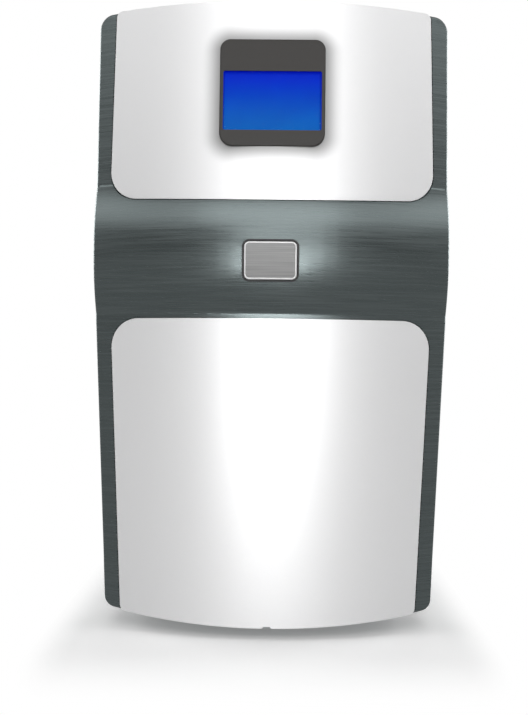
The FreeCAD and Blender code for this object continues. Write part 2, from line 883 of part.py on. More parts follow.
def door_liner():
    front = door_standoff - panel_seat
    plate = lower_surface(front).cut(lower_surface(front - liner_thickness))
    plate = plate.common(liner_outline(0, -FAR, front_depth))
    rim = lower_surface(front).cut(lower_surface(front - liner_thickness - liner_depth))
    rim = rim.common(liner_outline(0, -FAR, front_depth).cut(
        liner_outline(liner_rim, -FAR, front_depth)))
    cups = []
    for x, z in magnet_places():
        cup = rod(magnet_radius + magnet_wall, front_depth, Vector(x, 0, z), BACK)
        cup = cup.common(lower_surface(front))
        cups.append(cup.common(box(x - FAR, x + FAR, 0, magnet_face, z - FAR, z + FAR)))
    liner = plate.multiFuse([rim] + cups)
    for x, z in magnet_places():
        start = Vector(x, magnet_face - magnet_length, z)
        liner = liner.cut(rod(magnet_radius + panel_seat, magnet_length + 1, start, BACK))
    for height in hinge_heights:
        half = arm_height / 2 + foot_gap
        liner = liner.cut(box(-front_width, foot_end(height) + foot_gap, 0, front_depth,
                              height - half, height + half))
    return liner.removeSplitter()


def foot_end(height):
    return -(half_width_at(height) - door_margin) + notch_overlap + arm_foot_length


def hinge_arm(height):
    """Gooseneck: hub on the pin, neck, bow round the moulding's edge, foot on the door."""
    low = height - arm_height / 2
    pivot = Vector(hinge_x, hinge_y, low)
    outer = arm_inner_radius + arm_thickness
    ring = rod(outer, arm_height, pivot, UP).cut(rod(arm_inner_radius, arm_height, pivot, UP))
    sweep = arm_back_angle + arm_front_angle
    wedge = Part.makeCylinder(outer + 1, arm_height, pivot, UP, sweep)
    wedge.rotate(pivot, UP, -arm_front_angle)
    bow = ring.common(wedge)
    neck = box(0, arm_inner_radius + arm_thickness / 2, -arm_thickness / 2,
               arm_thickness / 2, 0, arm_height)
    neck.translate(pivot)
    neck.rotate(pivot, UP, arm_back_angle)
    hub = rod(hub_radius, arm_height, pivot, UP)
    front = door_standoff - panel_seat
    foot_start = foot_end(height) - arm_foot_length + foot_setback
    foot = lower_surface(front).cut(lower_surface(front - arm_foot_thickness)).common(
        box(foot_start, foot_end(height), 0, front_depth, low, low + arm_height))
    foot = foot.cut(rod(arm_inner_radius, arm_height, pivot, UP))
    arm = hub.multiFuse([neck, bow, foot]).common(lower_surface(front))
    arm = arm.cut(rod(hinge_pin_radius + pin_clearance, arm_height, pivot, UP))
    return arm.removeSplitter()


def hinge_bracket(height):
    """Clevis: a plate on the bulkhead with an ear above and one below the arm."""
    back = front_depth
    left = hinge_x - hub_radius
    edge = hinge_x - bracket_offset
    plate = box(edge, edge + bracket_width, back - bracket_thickness, back,
                height - bracket_height / 2, height + bracket_height / 2)
    pieces = [plate]
    for side in (-1, 1):
        inner = height + side * (arm_height / 2 + hinge_gap)
        low = min(inner, inner + side * ear_thickness)
        pieces.append(box(left, hinge_x + hub_radius, hinge_y, back, low, low + ear_thickness))
        pieces.append(rod(hub_radius, ear_thickness, Vector(hinge_x, hinge_y, low), UP))
    body = fused(pieces)
    tall = arm_height + 2 * (hinge_gap + ear_thickness)
    start = Vector(hinge_x, hinge_y, height - tall / 2)
    return body.cut(rod(hinge_pin_radius + pin_clearance, tall, start, UP))


def hinge_pin(height):
    tall = arm_height + 2 * (hinge_gap + ear_thickness)
    low = height - tall / 2
    head_low = low + tall + pin_clearance
    start = Vector(hinge_x, hinge_y, low - pin_tip)
    head = rod(hub_radius - pin_head / 3, pin_head, Vector(hinge_x, hinge_y, head_low), UP)
    pin = rod(hinge_pin_radius, head_low + pin_head / 2 - start.z, start, UP)
    return pin.fuse(head).removeSplitter()


def door_magnet(place):
    start = Vector(place[0], magnet_face - magnet_length, place[1])
    return rod(magnet_radius, magnet_length, start, BACK)


def magnet_strike(place):
    """Folded steel strip: a face for the magnet, a leg beside the opening, a foot."""
    x, z = place
    face = magnet_face + magnet_gap
    leg = half_width_at(z) - door_margin - ledge + strike_leg_inset
    low = z - strike_half_height
    high = z + strike_half_height
    strip = box(x - magnet_radius, leg + strike_sheet, face, face + strike_sheet, low, high)
    side = box(leg, leg + strike_sheet, face, front_depth, low, high)
    foot = box(leg, leg + strike_foot, front_depth - strike_sheet, front_depth, low, high)
    return fused([strip, side, foot])


# ------------------------------------------------------------------ push button
def button_block(grow, y0, y1):
    x = button_width / 2 + grow
    low = button_height - button_tall / 2 - grow
    high = button_height + button_tall / 2 + grow
    corners = [(-x, low), (x, low), (x, high), (-x, high)]
    return upright_outline(corners, [0] * 4, y0, y1, [button_corner + grow] * 4)


button_setback = belt_setback(button_height)
guide_face = front_most + collar_depth - guide_thickness


def button_housing():
    """Rectangular collar through the belt with a guide plate at its back."""
    shell = button_block(button_gap + collar_wall, -FAR, front_most + collar_depth)
    shell = shell.common(turned_front(collar_proud))
    bore = button_block(button_gap, -FAR, guide_face)
    flange_y = button_setback + front_wall + collar_flange_thickness
    flange = button_block(button_gap + collar_wall + collar_flange, flange_y,
                          flange_y + collar_flange_thickness)
    flange = flange.common(turned_front(-front_wall - panel_seat))
    housing = shell.fuse(flange).cut(bore)
    hole = rod(stem_radius + guide_clearance, collar_depth * 2,
               Vector(0, 0, button_height), BACK)
    return housing.cut(hole).removeSplitter()


def button_cap():
    cap = button_block(0, -FAR, button_cap_back).common(turned_front(button_proud))
    front_face = min(cap.Faces, key=lambda face: face.CenterOfMass.y)
    cap = cap.makeFillet(button_edge, front_face.Edges)
    hollow = button_block(-button_cap_wall, -FAR, button_cap_back + 1).common(
        turned_front(button_proud - button_cap_wall))
    socket = rod(stem_radius + socket_wall, button_cap_back, Vector(0, 0, button_height), BACK)
    cap = cap.cut(hollow).fuse(socket.common(turned_front(button_proud - button_cap_wall / 2)))
    hole = rod(stem_radius, button_cap_depth, Vector(0, stem_start, button_height), BACK)
    return cap.cut(hole).removeSplitter()


button_cap_back = button_setback + button_cap_depth
stem_start = button_setback - button_proud + button_cap_wall + stem_seat


def button_stem():
    return rod(stem_radius, stem_length, Vector(0, stem_start, button_height), BACK)


def button_spring():
    """Compression spring round the stem, between the cap and the guide plate."""
    start = button_cap_back + panel_seat + spring_wire_radius
    end = guide_face - panel_seat - spring_wire_radius
    coil = Part.makeHelix((end - start) / spring_turns, end - start, spring_radius)
    wire = Part.Wire(Part.makeCircle(spring_wire_radius, Vector(spring_radius, 0, 0), BACK))
    spring = Part.Wire(coil.Edges).makePipeShell([wire], True, True)
    spring.rotate(Vector(0, 0, 0), RIGHT, -90)
    spring.translate(Vector(0, start, button_height))
    return spring


stem_end = stem_start + stem_length
switch_start = stem_end + button_travel + switch_rest_gap


def switch_plunger():
    return rod(switch_plunger_radius, switch_start - stem_end + 2,
               Vector(0, stem_end, button_height), BACK)


def micro_switch():
    half = switch_tall / 2
    body = box(-switch_width / 2, switch_width / 2, switch_start, switch_start + switch_deep,
               button_height - half, button_height + half)
    hole = rod(switch_plunger_radius + guide_clearance, button_travel + 4,
               Vector(0, switch_start, button_height), BACK)
    return body.cut(hole)


def switch_bracket():
    """Channel from the bulkhead that holds the micro switch behind the stem."""
    top = button_height - switch_tall / 2
    half = switch_width / 2 + switch_side
    tongue = box(-half, half, switch_start, front_depth, top - switch_plate, top)
    foot = box(-half, half, front_depth - switch_plate, front_depth,
               top - switch_foot_tall, top)
    return fused([tongue, foot])


# ------------------------------------------------------------------ cabinet
def bulkhead():
    plate = body_outline(bulkhead_inset, front_depth, front_depth + bulkhead_thickness)
    half = bay_half_width - bay_lip
    bay = rounded_box(-half, half, 0, front_depth + FAR, foot_height + tray_flange,
                      door_high - bay_head, BACK, bay_corner_radius)
    wiring = rounded_box(-wiring_half_width, wiring_half_width, 0, front_depth + FAR,
                         belt_high - wiring_rise, cabinet_top - wiring_drop, BACK,
                         bay_corner_radius)
    plate = plate.cut(bay).cut(wiring)
    for x, z in boss_places():
        plate = plate.cut(rod(boss_hole_radius + screw_clearance, front_depth + FAR,
                              Vector(x, 0, z), BACK))
    return plate


def vent(across, deep, tall, direction):
    """A louvre slot with round ends, as a cutter along one direction."""
    return rounded_box(*across, *deep, *tall, direction, vent_slot / 2 - 0.1)


def base_tray():
    """Folded tray: floor with four upturned flanges, vent slots in the floor."""
    half = cabinet_half_width - sheet - fold_gap
    block = box(-half, half, cabinet_front, cover_back, foot_height, foot_height + tray_flange)
    hollow = box(-half + sheet, half - sheet, cabinet_front + sheet, cover_back - sheet,
                 tray_top, foot_height + tray_flange + 1)
    tray = block.cut(hollow)
    half = tray_vent_length / 2
    for row in range(tray_vent_count):
        y = pump_front_y + tray_vent_pitch * (row - 0.5)
        tray = tray.cut(vent((-half, half), (y, y + vent_slot), (0, tray_top + 1), UP))
    return tray


def feet():
    pads = []
    half = cabinet_half_width - foot_inset
    for x in (-half, half):
        for y in (cabinet_front + foot_inset, cover_back - foot_inset):
            pad = Part.makeCone(foot_radius - foot_taper, foot_radius, foot_height,
                                Vector(x, y, 0), UP)
            rim = [e for e in pad.Edges if e.BoundBox.ZMax < 0.1]
            pads.append(pad.makeFillet(foot_edge, rim))
    return keyed(pads)


def enclosure_cover():
    """Inverted U of sheet with vent slots low in both sides."""
    outer = rounded_box(-cabinet_half_width, cabinet_half_width, cabinet_front, cover_back,
                        foot_height - FAR, cabinet_top, BACK, cover_bend)
    inner = rounded_box(-cabinet_half_width + sheet, cabinet_half_width - sheet,
                        cabinet_front, cover_back, foot_height - FAR, cabinet_top - sheet,
                        BACK, cover_bend - sheet)
    cover = outer.cut(inner)
    cover = cover.common(box(-front_width, front_width, cabinet_front, cover_back,
                             foot_height + cover_gap, cabinet_top))
    half = cabinet_half_width + 1
    rear = cover_back - vent_margin
    for row in range(side_vent_count):
        z = shelf_height + vent_margin + row * side_vent_pitch
        cover = cover.cut(vent((-half, half), (rear - side_vent_length, rear),
                               (z, z + vent_slot), RIGHT))
    return cover


def rear_panel():
    plate = rounded_box(-cabinet_half_width, cabinet_half_width, cover_back, cabinet_depth,
                        foot_height + cover_gap, cabinet_top, BACK, cover_bend / 2)
    half = rear_vent_length / 2
    for row in range(rear_vent_count):
        z = rear_vent_low + row * rear_vent_pitch
        plate = plate.cut(vent((-half, half), (cover_back - 1, cabinet_depth + 1),
                               (z, z + vent_slot), BACK))
    for x, z in port_places():
        plate = plate.cut(rod(stub_radius + port_hole_clearance, FAR,
                              Vector(x, cover_back - 1, z), BACK))
    body = inlet_body_block(panel_seat, cover_back - 1, cabinet_depth + 1)
    frame = rocker_body_block(panel_seat, cover_back - 1, cabinet_depth + 1)
    return plate.cut(body).cut(frame)


def shelf():
    half = cabinet_half_width - sheet - fold_gap
    high = shelf_height + shelf_flange
    block = box(-half, half, cabinet_front, cover_back, shelf_height, high)
    hollow = box(-half + sheet, half - sheet, cabinet_front + sheet, cover_back - sheet,
                 shelf_height + sheet, high + 1)
    slot = cable_slot_width / 2
    y = bay_back + service_gap / 2
    return block.cut(hollow).cut(rounded_box(-slot, slot, y, y + cable_slot_depth, 0, high,
                                             UP, 6))


def bay_liner():
    """Folded wall round the cartridges: two sides and a back."""
    low = tray_top
    bend = 2 * sheet + 2
    outer = rounded_box(-bay_half_width, bay_half_width, cabinet_front - FAR, bay_back,
                        low, shelf_height, UP, bend)
    inner = rounded_box(-bay_half_width + sheet, bay_half_width - sheet,
                        cabinet_front - FAR - 1, bay_back - sheet, low, shelf_height, UP,
                        bend - sheet)
    wall = outer.cut(inner)
    wall = wall.cut(box(-front_width, front_width, -FAR, cabinet_front + sheet, 0,
                        shelf_height + 1))
    for x in cell_places:
        wall = wall.cut(rod(cell_radius + 2, FAR, Vector(x, manifold_back, cell_height), BACK))
    return wall


def cartridge_places():
    first = -cartridge_pitch * (cartridge_count - 1) / 2
    return [first + cartridge_pitch * index for index in range(cartridge_count)]


def manifold_head():
    block = rounded_box(-manifold_half_length, manifold_half_length,
                        cartridge_y - manifold_depth / 2, manifold_back,
                        manifold_low, shelf_height, UP, 6)
    for x in cartridge_places():
        start = Vector(x, cartridge_y, manifold_low - 1)
        block = block.cut(rod(neck_radius + neck_gap, neck_engagement + 2, start, UP))
    for x in cell_places:
        start = Vector(x, manifold_back - cell_thread - 2, cell_height)
        block = block.cut(rod(cell_thread_radius, cell_thread + 2, start, BACK))
    return block


def conductivity_cell(x):
    body = rod(cell_radius, cell_length, Vector(x, manifold_back, cell_height), BACK)
    thread = rod(cell_thread_radius - panel_seat, cell_thread,
                 Vector(x, manifold_back - cell_thread, cell_height), BACK)
    return body.fuse(thread).removeSplitter()


def cartridge(x):
    """Turned canister with a domed foot, fluted grip and a neck with two bayonet lugs."""
    r = cartridge_radius
    low = cartridge_low
    foot = cartridge_foot_radius
    middle = foot * (1 - math.sqrt(0.5))
    shoulder = neck_low - shoulder_tall
    bulge = (r - neck_radius) * 0.29
    top = manifold_low + neck_engagement

    def at(x, z):
        return Vector(x, 0, z)

    outline = [
        Part.LineSegment(at(0, low), at(r - foot, low)).toShape(),
        Part.Arc(at(r - foot, low), at(r - middle, low + middle), at(r, low + foot)).toShape(),
        Part.LineSegment(at(r, low + foot), at(r, shoulder)).toShape(),
        Part.Arc(at(r, shoulder), at(r - bulge, shoulder + shoulder_tall * 0.53),
                 at(neck_radius, neck_low)).toShape(),
        Part.LineSegment(at(neck_radius, neck_low), at(neck_radius, top)).toShape(),
        Part.LineSegment(at(neck_radius, top), at(0, top)).toShape(),
        Part.LineSegment(at(0, top), at(0, low)).toShape(),
    ]
    body = Part.Face(Part.Wire(outline)).revolve(Vector(0, 0, 0), UP, 360)
    flutes = []
    for index in range(flute_count):
        turn = 2 * math.pi * index / flute_count
        place = Vector((r + 1) * math.cos(turn), (r + 1) * math.sin(turn), low - 1)
        flutes.append(rod(flute_radius, flute_length, place, UP))
    body = body.cut(keyed(flutes))
    lug_z = manifold_low - lug_height - lug_drop
    lug = box(-neck_radius - lug_reach, neck_radius + lug_reach, -lug_width / 2,
              lug_width / 2, lug_z, lug_z + lug_height)
    body = body.fuse(lug).removeSplitter()
    body.translate(Vector(x, cartridge_y, 0))
    return body


# ------------------------------------------------------------------ treatment behind the bay
def vessel(x, y, radius, low, high):
    return rod(radius, high - low, Vector(x, y, low), UP)


def end_cap(x, y, radius, low, height):
    cap = rod(radius + end_cap_wall, height, Vector(x, y, low), UP)
    rims = [e for e in cap.Edges if e.Curve.TypeId == "Part::GeomCircle"]
    return cap.makeFillet(end_cap_edge, rims)


def uv_end_caps():
    low = end_cap(uv_x, uv_y, uv_radius, uv_low - end_cap_height, end_cap_height)
    high = end_cap(uv_x, uv_y, uv_radius, uv_high, end_cap_height)
    return keyed([low, high])


def uv_clamps():
    """Split rings with a foot on the bay's back wall."""
    rings = []
    half = clamp_arm_width / 2
    for z in (uv_low + clamp_inset, uv_high - clamp_inset - clamp_height):
        outer = rod(uv_radius + clamp_thickness, clamp_height, Vector(uv_x, uv_y, z), UP)
        arm = box(uv_x - half, uv_x + half, bay_back, uv_y, z, z + clamp_height)
        ring = outer.fuse(arm)
        rings.append(ring.cut(rod(uv_radius + panel_seat, clamp_height, Vector(uv_x, uv_y, z),
                                  UP)).removeSplitter())
    return keyed(rings)


def ro_end_caps():
    low = end_cap(ro_x, ro_y, ro_radius, tray_top, ro_cap_height)
    high = end_cap(ro_x, ro_y, ro_radius, shelf_height - ro_cap_height, ro_cap_height)
    return keyed([low, high])


def ro_vessel():
    return vessel(ro_x, ro_y, ro_radius, tray_top + ro_cap_height,
                  shelf_height - ro_cap_height)


def uv_chamber():
    tube = vessel(uv_x, uv_y, uv_radius, uv_low, uv_high)
    stubs = [rod(uv_stub_radius, uv_stub_reach + 2,
                 Vector(uv_x - uv_radius - uv_stub_reach, uv_y, z), RIGHT)
             for z in (uv_low + uv_stub_inset, uv_high - uv_stub_inset)]
    return tube.multiFuse(stubs).removeSplitter()


def pump_head():
    half = pump_head_size / 2
    block = rounded_box(pump_x - half, pump_x + half, pump_front_y,
                        pump_front_y + pump_head_length, pump_axis_height - half,
                        pump_axis_height + half, BACK, pump_head_corner)
    ports = [rod(pump_port_radius, pump_port_reach,
                 Vector(pump_x + side * half, pump_front_y + pump_port_inset,
                        pump_axis_height + pump_port_rise), RIGHT * side)
             for side in (-1, 1)]
    return block.multiFuse(ports).removeSplitter()


def pump_motor():
    end = motor_start + pump_motor_length
    can = rod(pump_motor_radius, pump_motor_length,
              Vector(pump_x, motor_start, pump_axis_height), BACK)
    rim = [e for e in can.Edges if abs(e.BoundBox.YMin - end) < 0.1]
    can = can.makeFillet(motor_rim_radius, rim)
    boss = rod(pump_boss_radius, pump_boss_length, Vector(pump_x, end, pump_axis_height), BACK)
    return can.fuse(boss).removeSplitter()


def pump_bracket():
    """Flat foot under the pump with a saddle that takes the motor."""
    end = motor_start + pump_motor_length
    half = pump_head_size / 2
    plate = box(pump_x - half, pump_x + half, pump_front_y, end,
                pump_plate_low, pump_plate_low + pump_bracket_thickness)
    side = saddle_width / 2
    saddle = box(pump_x - side, pump_x + side, motor_start + saddle_inset,
                 end - saddle_inset, pump_plate_low, pump_axis_height - saddle_drop)
    body = plate.fuse(saddle)
    body = body.cut(rod(pump_motor_radius, pump_motor_length,
                        Vector(pump_x, motor_start, pump_axis_height), BACK))
    return body.removeSplitter()


def pump_mounts():
    start = pump_front_y + mount_inset
    end = motor_start + pump_motor_length - mount_inset
    half = pump_head_size / 2 - mount_inset
    return keyed([rod(mount_radius, mount_height, Vector(pump_x + side * half, y, tray_top), UP)
                  for side in (-1, 1) for y in (start, end)])


def valve_places():
    return [valve_x + valve_pitch * index for index in range(valve_count)]


def valve_body(x):
    half = valve_size / 2
    block = rounded_box(x - half, x + half, valve_y - half, valve_y + half, tray_top,
                        tray_top + valve_body_height, UP, 3)
    port = rod(valve_port_radius, valve_size + 2 * valve_port_reach,
               Vector(x, valve_y - half - valve_port_reach, tray_top + valve_port_rise), BACK)
    return block.fuse(port).removeSplitter()


def valve_coil(x):
    low = tray_top + valve_body_height
    half = valve_size / 2 - 1
    block = rounded_box(x - half, x + half, valve_y - half, valve_y + half, low,
                        low + coil_height, UP, 3)
    nut = rod(coil_nut_radius, coil_nut_height, Vector(x, valve_y, low + coil_height), UP)
    return block.fuse(nut).removeSplitter()


# ------------------------------------------------------------------ electronics
shelf_top = shelf_height + sheet
supply_x = 2 * sheet + electronics_gap / 2 - cabinet_half_width
supply_y = cover_back - sheet - electronics_gap - supply_length


def power_supply():
    case = box(supply_x, supply_x + supply_width, supply_y, supply_y + supply_length,
               shelf_top, shelf_top + supply_height)
    case = case.makeFillet(supply_edge, edges_along(case, BACK))
    high = shelf_top + supply_height
    for row in range(supply_vent_count):
        y = supply_y + supply_vent_start + row * supply_vent_pitch
        case = case.cut(vent((supply_x + supply_vent_side,
                              supply_x + supply_width - supply_vent_side),
                             (y, y + vent_slot), (high - sheet, high + 1), UP))
    return case


def control_board():
    x0 = supply_x + supply_width + electronics_gap
    y0 = cover_back - sheet - electronics_gap - board_length
    z0 = shelf_top + standoff_height
    board = box(x0, x0 + board_width, y0, y0 + board_length, z0, z0 + board_thickness)
    posts = []
    for x in (x0 + standoff_inset, x0 + board_width - standoff_inset):
        for y in (y0 + standoff_inset, y0 + board_length - standoff_inset):
            posts.append(rod(standoff_radius, standoff_height, Vector(x, y, shelf_top), UP))
    return board.multiFuse(posts).removeSplitter()


def uv_ballast():
    y0 = cabinet_front + sheet + electronics_gap
    case = box(-ballast_length / 2, ballast_length / 2, y0, y0 + ballast_width,
               shelf_top, shelf_top + ballast_height)
    return case.makeFillet(2, edges_along(case, RIGHT))


# ------------------------------------------------------------------ rear connections
stub_radius = port_body_radius - port_stub_step


def port_places():
    """Tube connections: feed and reject side by side, tank and product above them."""
    return [(port_x + port_spacing * column, port_height + port_spacing * row)
            for row in range(2) for column in range(2)]


def tube_port(place):
    """Bulkhead push-in union; the bore takes a 6.35 mm tube."""
    x, z = place
    end = cabinet_depth + port_body_length
    body = rod(port_body_radius, port_body_length, Vector(x, cabinet_depth, z), BACK)
    collet = rod(collet_radius, collet_length, Vector(x, end, z), BACK)
    stub = rod(stub_radius, port_stub_length,
               Vector(x, cabinet_depth - port_stub_length, z), BACK)
    union = body.multiFuse([collet, stub])
    mouth = end + collet_length
    bore = rod(port_bore_radius, port_bore_length, Vector(x, mouth - port_bore_length, z), BACK)
    waterway = rod(port_bore_radius - 1, FAR, Vector(x, cabinet_depth - port_stub_length, z),
                   BACK)
    return union.cut(bore).cut(waterway).removeSplitter()


def port_nut(place):
    x, z = place
    across = port_nut_across / math.sqrt(3)
    points = []
    for index in range(7):
        turn = math.pi / 3 * index
        points.append(Vector(x + across * math.cos(turn), cover_back - port_nut_length,
                             z + across * math.sin(turn)))
    nut = Part.Face(Part.makePolygon(points)).extrude(Vector(0, port_nut_length, 0))
    hole = rod(stub_radius + pin_clearance, FAR,
               Vector(x, cover_back - port_nut_length - 1, z), BACK)
    return nut.cut(hole)


def inlet_body_block(grow, y0, y1):
    x = inlet_cavity_width / 2 + inlet_wall + grow
    z = inlet_cavity_tall / 2 + inlet_wall + grow
    return rounded_box(inlet_x - x, inlet_x + x, y0, y1, inlet_height - z, inlet_height + z,
                       BACK, 2)


def power_inlet():
    """Three-pole appliance inlet: flange, body and a cavity with two cut corners."""
    x = inlet_flange_width / 2
    z = inlet_flange_tall / 2
    flange = rounded_box(inlet_x - x, inlet_x + x, cabinet_depth,
                         cabinet_depth + inlet_flange_thickness, inlet_height - z,
                         inlet_height + z, BACK, 5)
    body = inlet_body_block(0, cabinet_depth + inlet_flange_thickness - inlet_depth,
                            cabinet_depth + inlet_flange_thickness)
    mouth = cabinet_depth + inlet_flange_thickness
    cx = inlet_cavity_width / 2
    cz = inlet_cavity_tall / 2
    corners = [(-cx, -cz), (cx, -cz), (cx, cz - inlet_corner), (cx - inlet_corner, cz),
               (inlet_corner - cx, cz), (-cx, cz - inlet_corner)]
    cavity = upright_outline([(inlet_x + x, inlet_height + z) for x, z in corners], [0] * 6,
                             mouth - inlet_cavity_depth, mouth + 1, [0] * 6)
    return flange.fuse(body).cut(cavity).removeSplitter()


def inlet_pins():
    floor = cabinet_depth + inlet_flange_thickness - inlet_cavity_depth
    pins = []
    for side in (-1, 0, 1):
        x = inlet_x + side * pin_spacing - pin_thickness / 2
        z = inlet_height + pin_offset * (1 - 2 * abs(side)) - pin_width / 2
        pins.append(box(x, x + pin_thickness, floor, floor + pin_length, z, z + pin_width))
    return keyed(pins)


def rocker_body_block(grow, y0, y1):
    x = rocker_width / 2 + rocker_gap + rocker_body_wall + grow
    z = rocker_tall / 2 + rocker_gap + rocker_body_wall + grow
    return rounded_box(switch_x - x, switch_x + x, y0, y1, inlet_height - z, inlet_height + z,
                       BACK, 1)


def power_switch_frame():
    front = cabinet_depth + inlet_flange_thickness
    x = rocker_width / 2 + rocker_gap + rocker_frame_wall
    z = rocker_tall / 2 + rocker_gap + rocker_frame_wall + rocker_flange
    bezel = rounded_box(switch_x - x, switch_x + x, cabinet_depth, front, inlet_height - z,
                        inlet_height + z, BACK, rocker_flange)
    body = rocker_body_block(0, front - rocker_frame_depth, front)
    well = box(switch_x - rocker_width / 2 - rocker_gap, switch_x + rocker_width / 2 + rocker_gap,
               front - rocker_frame_depth + rocker_root, front + 1,
               inlet_height - rocker_tall / 2 - rocker_gap,
               inlet_height + rocker_tall / 2 + rocker_gap)
    pivot = Vector(switch_x - x, front - rocker_pivot_depth, inlet_height)
    hole = rod(rocker_pivot_radius + pin_clearance, 2 * x, pivot, RIGHT)
    hole = hole.common(box(switch_x - rocker_width / 2 - rocker_gap - 1,
                           switch_x + rocker_width / 2 + rocker_gap + 1,
                           0, cabinet_depth + FAR, 0, cabinet_top))
    return bezel.fuse(body).cut(well).cut(hole).removeSplitter()


def power_rocker():
    """Rocker with a shallow V face, at rest with its lower half pressed in."""
    front = cabinet_depth + inlet_flange_thickness
    half = rocker_tall / 2 - rocker_end_gap
    pivot_y = front - rocker_pivot_depth
    slope = math.tan(math.radians(rocker_tilt))
    face = front + rocker_face_rise
    back = pivot_y - rocker_root
    narrow = half - rocker_root_inset
    corners = [Vector(0, back, -narrow), Vector(0, back, narrow),
               Vector(0, face + half * slope, half), Vector(0, face, 0),
               Vector(0, face + half * slope, -half)]
    key = Part.Face(Part.makePolygon(corners + corners[:1])).extrude(
        Vector(rocker_width, 0, 0))
    key.translate(Vector(switch_x - rocker_width / 2, 0, inlet_height))
    reach = rocker_width / 2 + rocker_gap + rocker_pivot_reach
    trunnion = rod(rocker_pivot_radius, 2 * reach,
                   Vector(switch_x - reach, pivot_y, inlet_height), RIGHT)
    key = key.fuse(trunnion).removeSplitter()
    key.rotate(Vector(switch_x, pivot_y, inlet_height), RIGHT, -rocker_tilt)
    return key


def cover_screws():
    screws = []
    for side in (-1, 1):
        for y in (cabinet_front + cover_screw_inset, cover_back - cover_screw_inset):
            start = Vector(side * cabinet_half_width, y, foot_height + tray_flange / 2 + 1)
            screws.append(rod(cover_screw_radius, cover_screw_head, start, RIGHT * side))
    return keyed(screws)


# ------------------------------------------------------------------ all pieces
save("front_fascia", front_fascia())
save("upper_panel", upper_panel())
save("display_bezel", display_bezel())
save("display_window", display_window())
save("lcd_screen", lcd_screen())
save("display_board", display_board())
save("door_panel", door_panel())
save("door_liner", door_liner())
save("hinge_arms", keyed([hinge_arm(height) for height in hinge_heights]))
save("hinge_brackets", keyed([hinge_bracket(height) for height in hinge_heights]))
save("hinge_pins", keyed([hinge_pin(height) for height in hinge_heights]))
save("door_magnets", keyed([door_magnet(place) for place in magnet_places()]))
save("magnet_strikes", keyed([magnet_strike(place) for place in magnet_places()]))
save("button_housing", button_housing())
save("button_cap", button_cap())
save("button_stem", button_stem())
save("button_spring", button_spring())
save("switch_plunger", switch_plunger())
save("micro_switch", micro_switch())
save("switch_bracket", switch_bracket())
save("bulkhead", bulkhead())
save("base_tray", base_tray())
save("feet", feet())
save("enclosure_cover", enclosure_cover())
save("cover_screws", cover_screws())
save("rear_panel", rear_panel())
save("shelf", shelf())
save("bay_liner", bay_liner())
save("manifold_head", manifold_head())
for number, place in enumerate(cartridge_places(), start=1):
    save("cartridge_%d" % number, cartridge(place))
save("conductivity_cells", keyed([conductivity_cell(x) for x in cell_places]))
save("uv_chamber", uv_chamber())
save("uv_end_caps", uv_end_caps())
save("uv_clamps", uv_clamps())
save("ro_vessel", ro_vessel())
save("ro_end_caps", ro_end_caps())
save("pump_head", pump_head())
save("pump_motor", pump_motor())
save("pump_bracket", pump_bracket())
save("pump_mounts", pump_mounts())
save("valve_bodies", keyed([valve_body(x) for x in valve_places()]))
save("valve_coils", keyed([valve_coil(x) for x in valve_places()]))
save("power_supply", power_supply())
save("control_board", control_board())
save("uv_ballast", uv_ballast())
for name, place in zip(("feed_port", "reject_port", "tank_port", "product_port"),
                       port_places()):
    save(name, tube_port(place))
save("port_nuts", keyed([port_nut(place) for place in port_places()]))
save("power_inlet", power_inlet())
save("inlet_pins", inlet_pins())
save("power_switch_frame", power_switch_frame())
save("power_rocker", power_rocker())
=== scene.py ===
# %% [markdown]
# # A benchtop ultrapure water system
# The machine is a bowed plastic front on a sheet-metal cabinet.  The front has a white display
# panel, a grey metallic belt with one push button, and a white service door.  Behind the door
# four cartridges hang from a manifold.  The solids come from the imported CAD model, in metres, and
# stay where they are.  This lesson gives every one of them its finish, and adds the small
# fittings that are too fine for the solids: screw heads, bolts, terminals, the button's spring
# and the parts on the control board.

# %% Load the frame
import bpy
import math
from mathutils import Matrix, Vector


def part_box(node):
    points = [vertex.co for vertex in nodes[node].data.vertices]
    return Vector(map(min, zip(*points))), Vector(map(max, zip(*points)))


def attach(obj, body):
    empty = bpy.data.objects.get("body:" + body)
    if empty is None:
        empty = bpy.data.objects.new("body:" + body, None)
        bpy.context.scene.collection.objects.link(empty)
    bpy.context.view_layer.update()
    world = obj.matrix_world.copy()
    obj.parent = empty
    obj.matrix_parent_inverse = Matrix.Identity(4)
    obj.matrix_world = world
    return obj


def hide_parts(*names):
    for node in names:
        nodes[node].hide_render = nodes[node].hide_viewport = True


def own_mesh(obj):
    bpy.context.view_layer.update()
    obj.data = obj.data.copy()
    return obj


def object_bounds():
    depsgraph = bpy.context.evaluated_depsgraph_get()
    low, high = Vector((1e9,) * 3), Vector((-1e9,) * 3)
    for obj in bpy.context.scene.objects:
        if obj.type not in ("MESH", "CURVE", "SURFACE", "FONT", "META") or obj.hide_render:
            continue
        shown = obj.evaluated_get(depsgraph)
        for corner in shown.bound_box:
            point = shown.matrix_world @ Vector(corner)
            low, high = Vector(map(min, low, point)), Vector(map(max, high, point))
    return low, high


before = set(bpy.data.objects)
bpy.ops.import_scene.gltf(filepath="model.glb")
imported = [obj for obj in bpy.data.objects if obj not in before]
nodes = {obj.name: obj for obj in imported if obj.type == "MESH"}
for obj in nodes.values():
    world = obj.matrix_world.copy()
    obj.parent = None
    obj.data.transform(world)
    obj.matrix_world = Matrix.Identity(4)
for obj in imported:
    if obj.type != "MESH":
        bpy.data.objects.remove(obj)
cad_box = [list(corner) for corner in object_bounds()]

# %% [markdown]
# ## Camera
# A camera close to the machine makes the bowed front look fuller than a distant one does, so its
# distance matters more than its lens.  It stands about a metre in front of the belt, a little
# above the lower crease, and is tilted and rolled by less than one degree.  A matrix is built
# from the three directions, because a rotation matrix holds such small angles more exactly than a
# target point does.

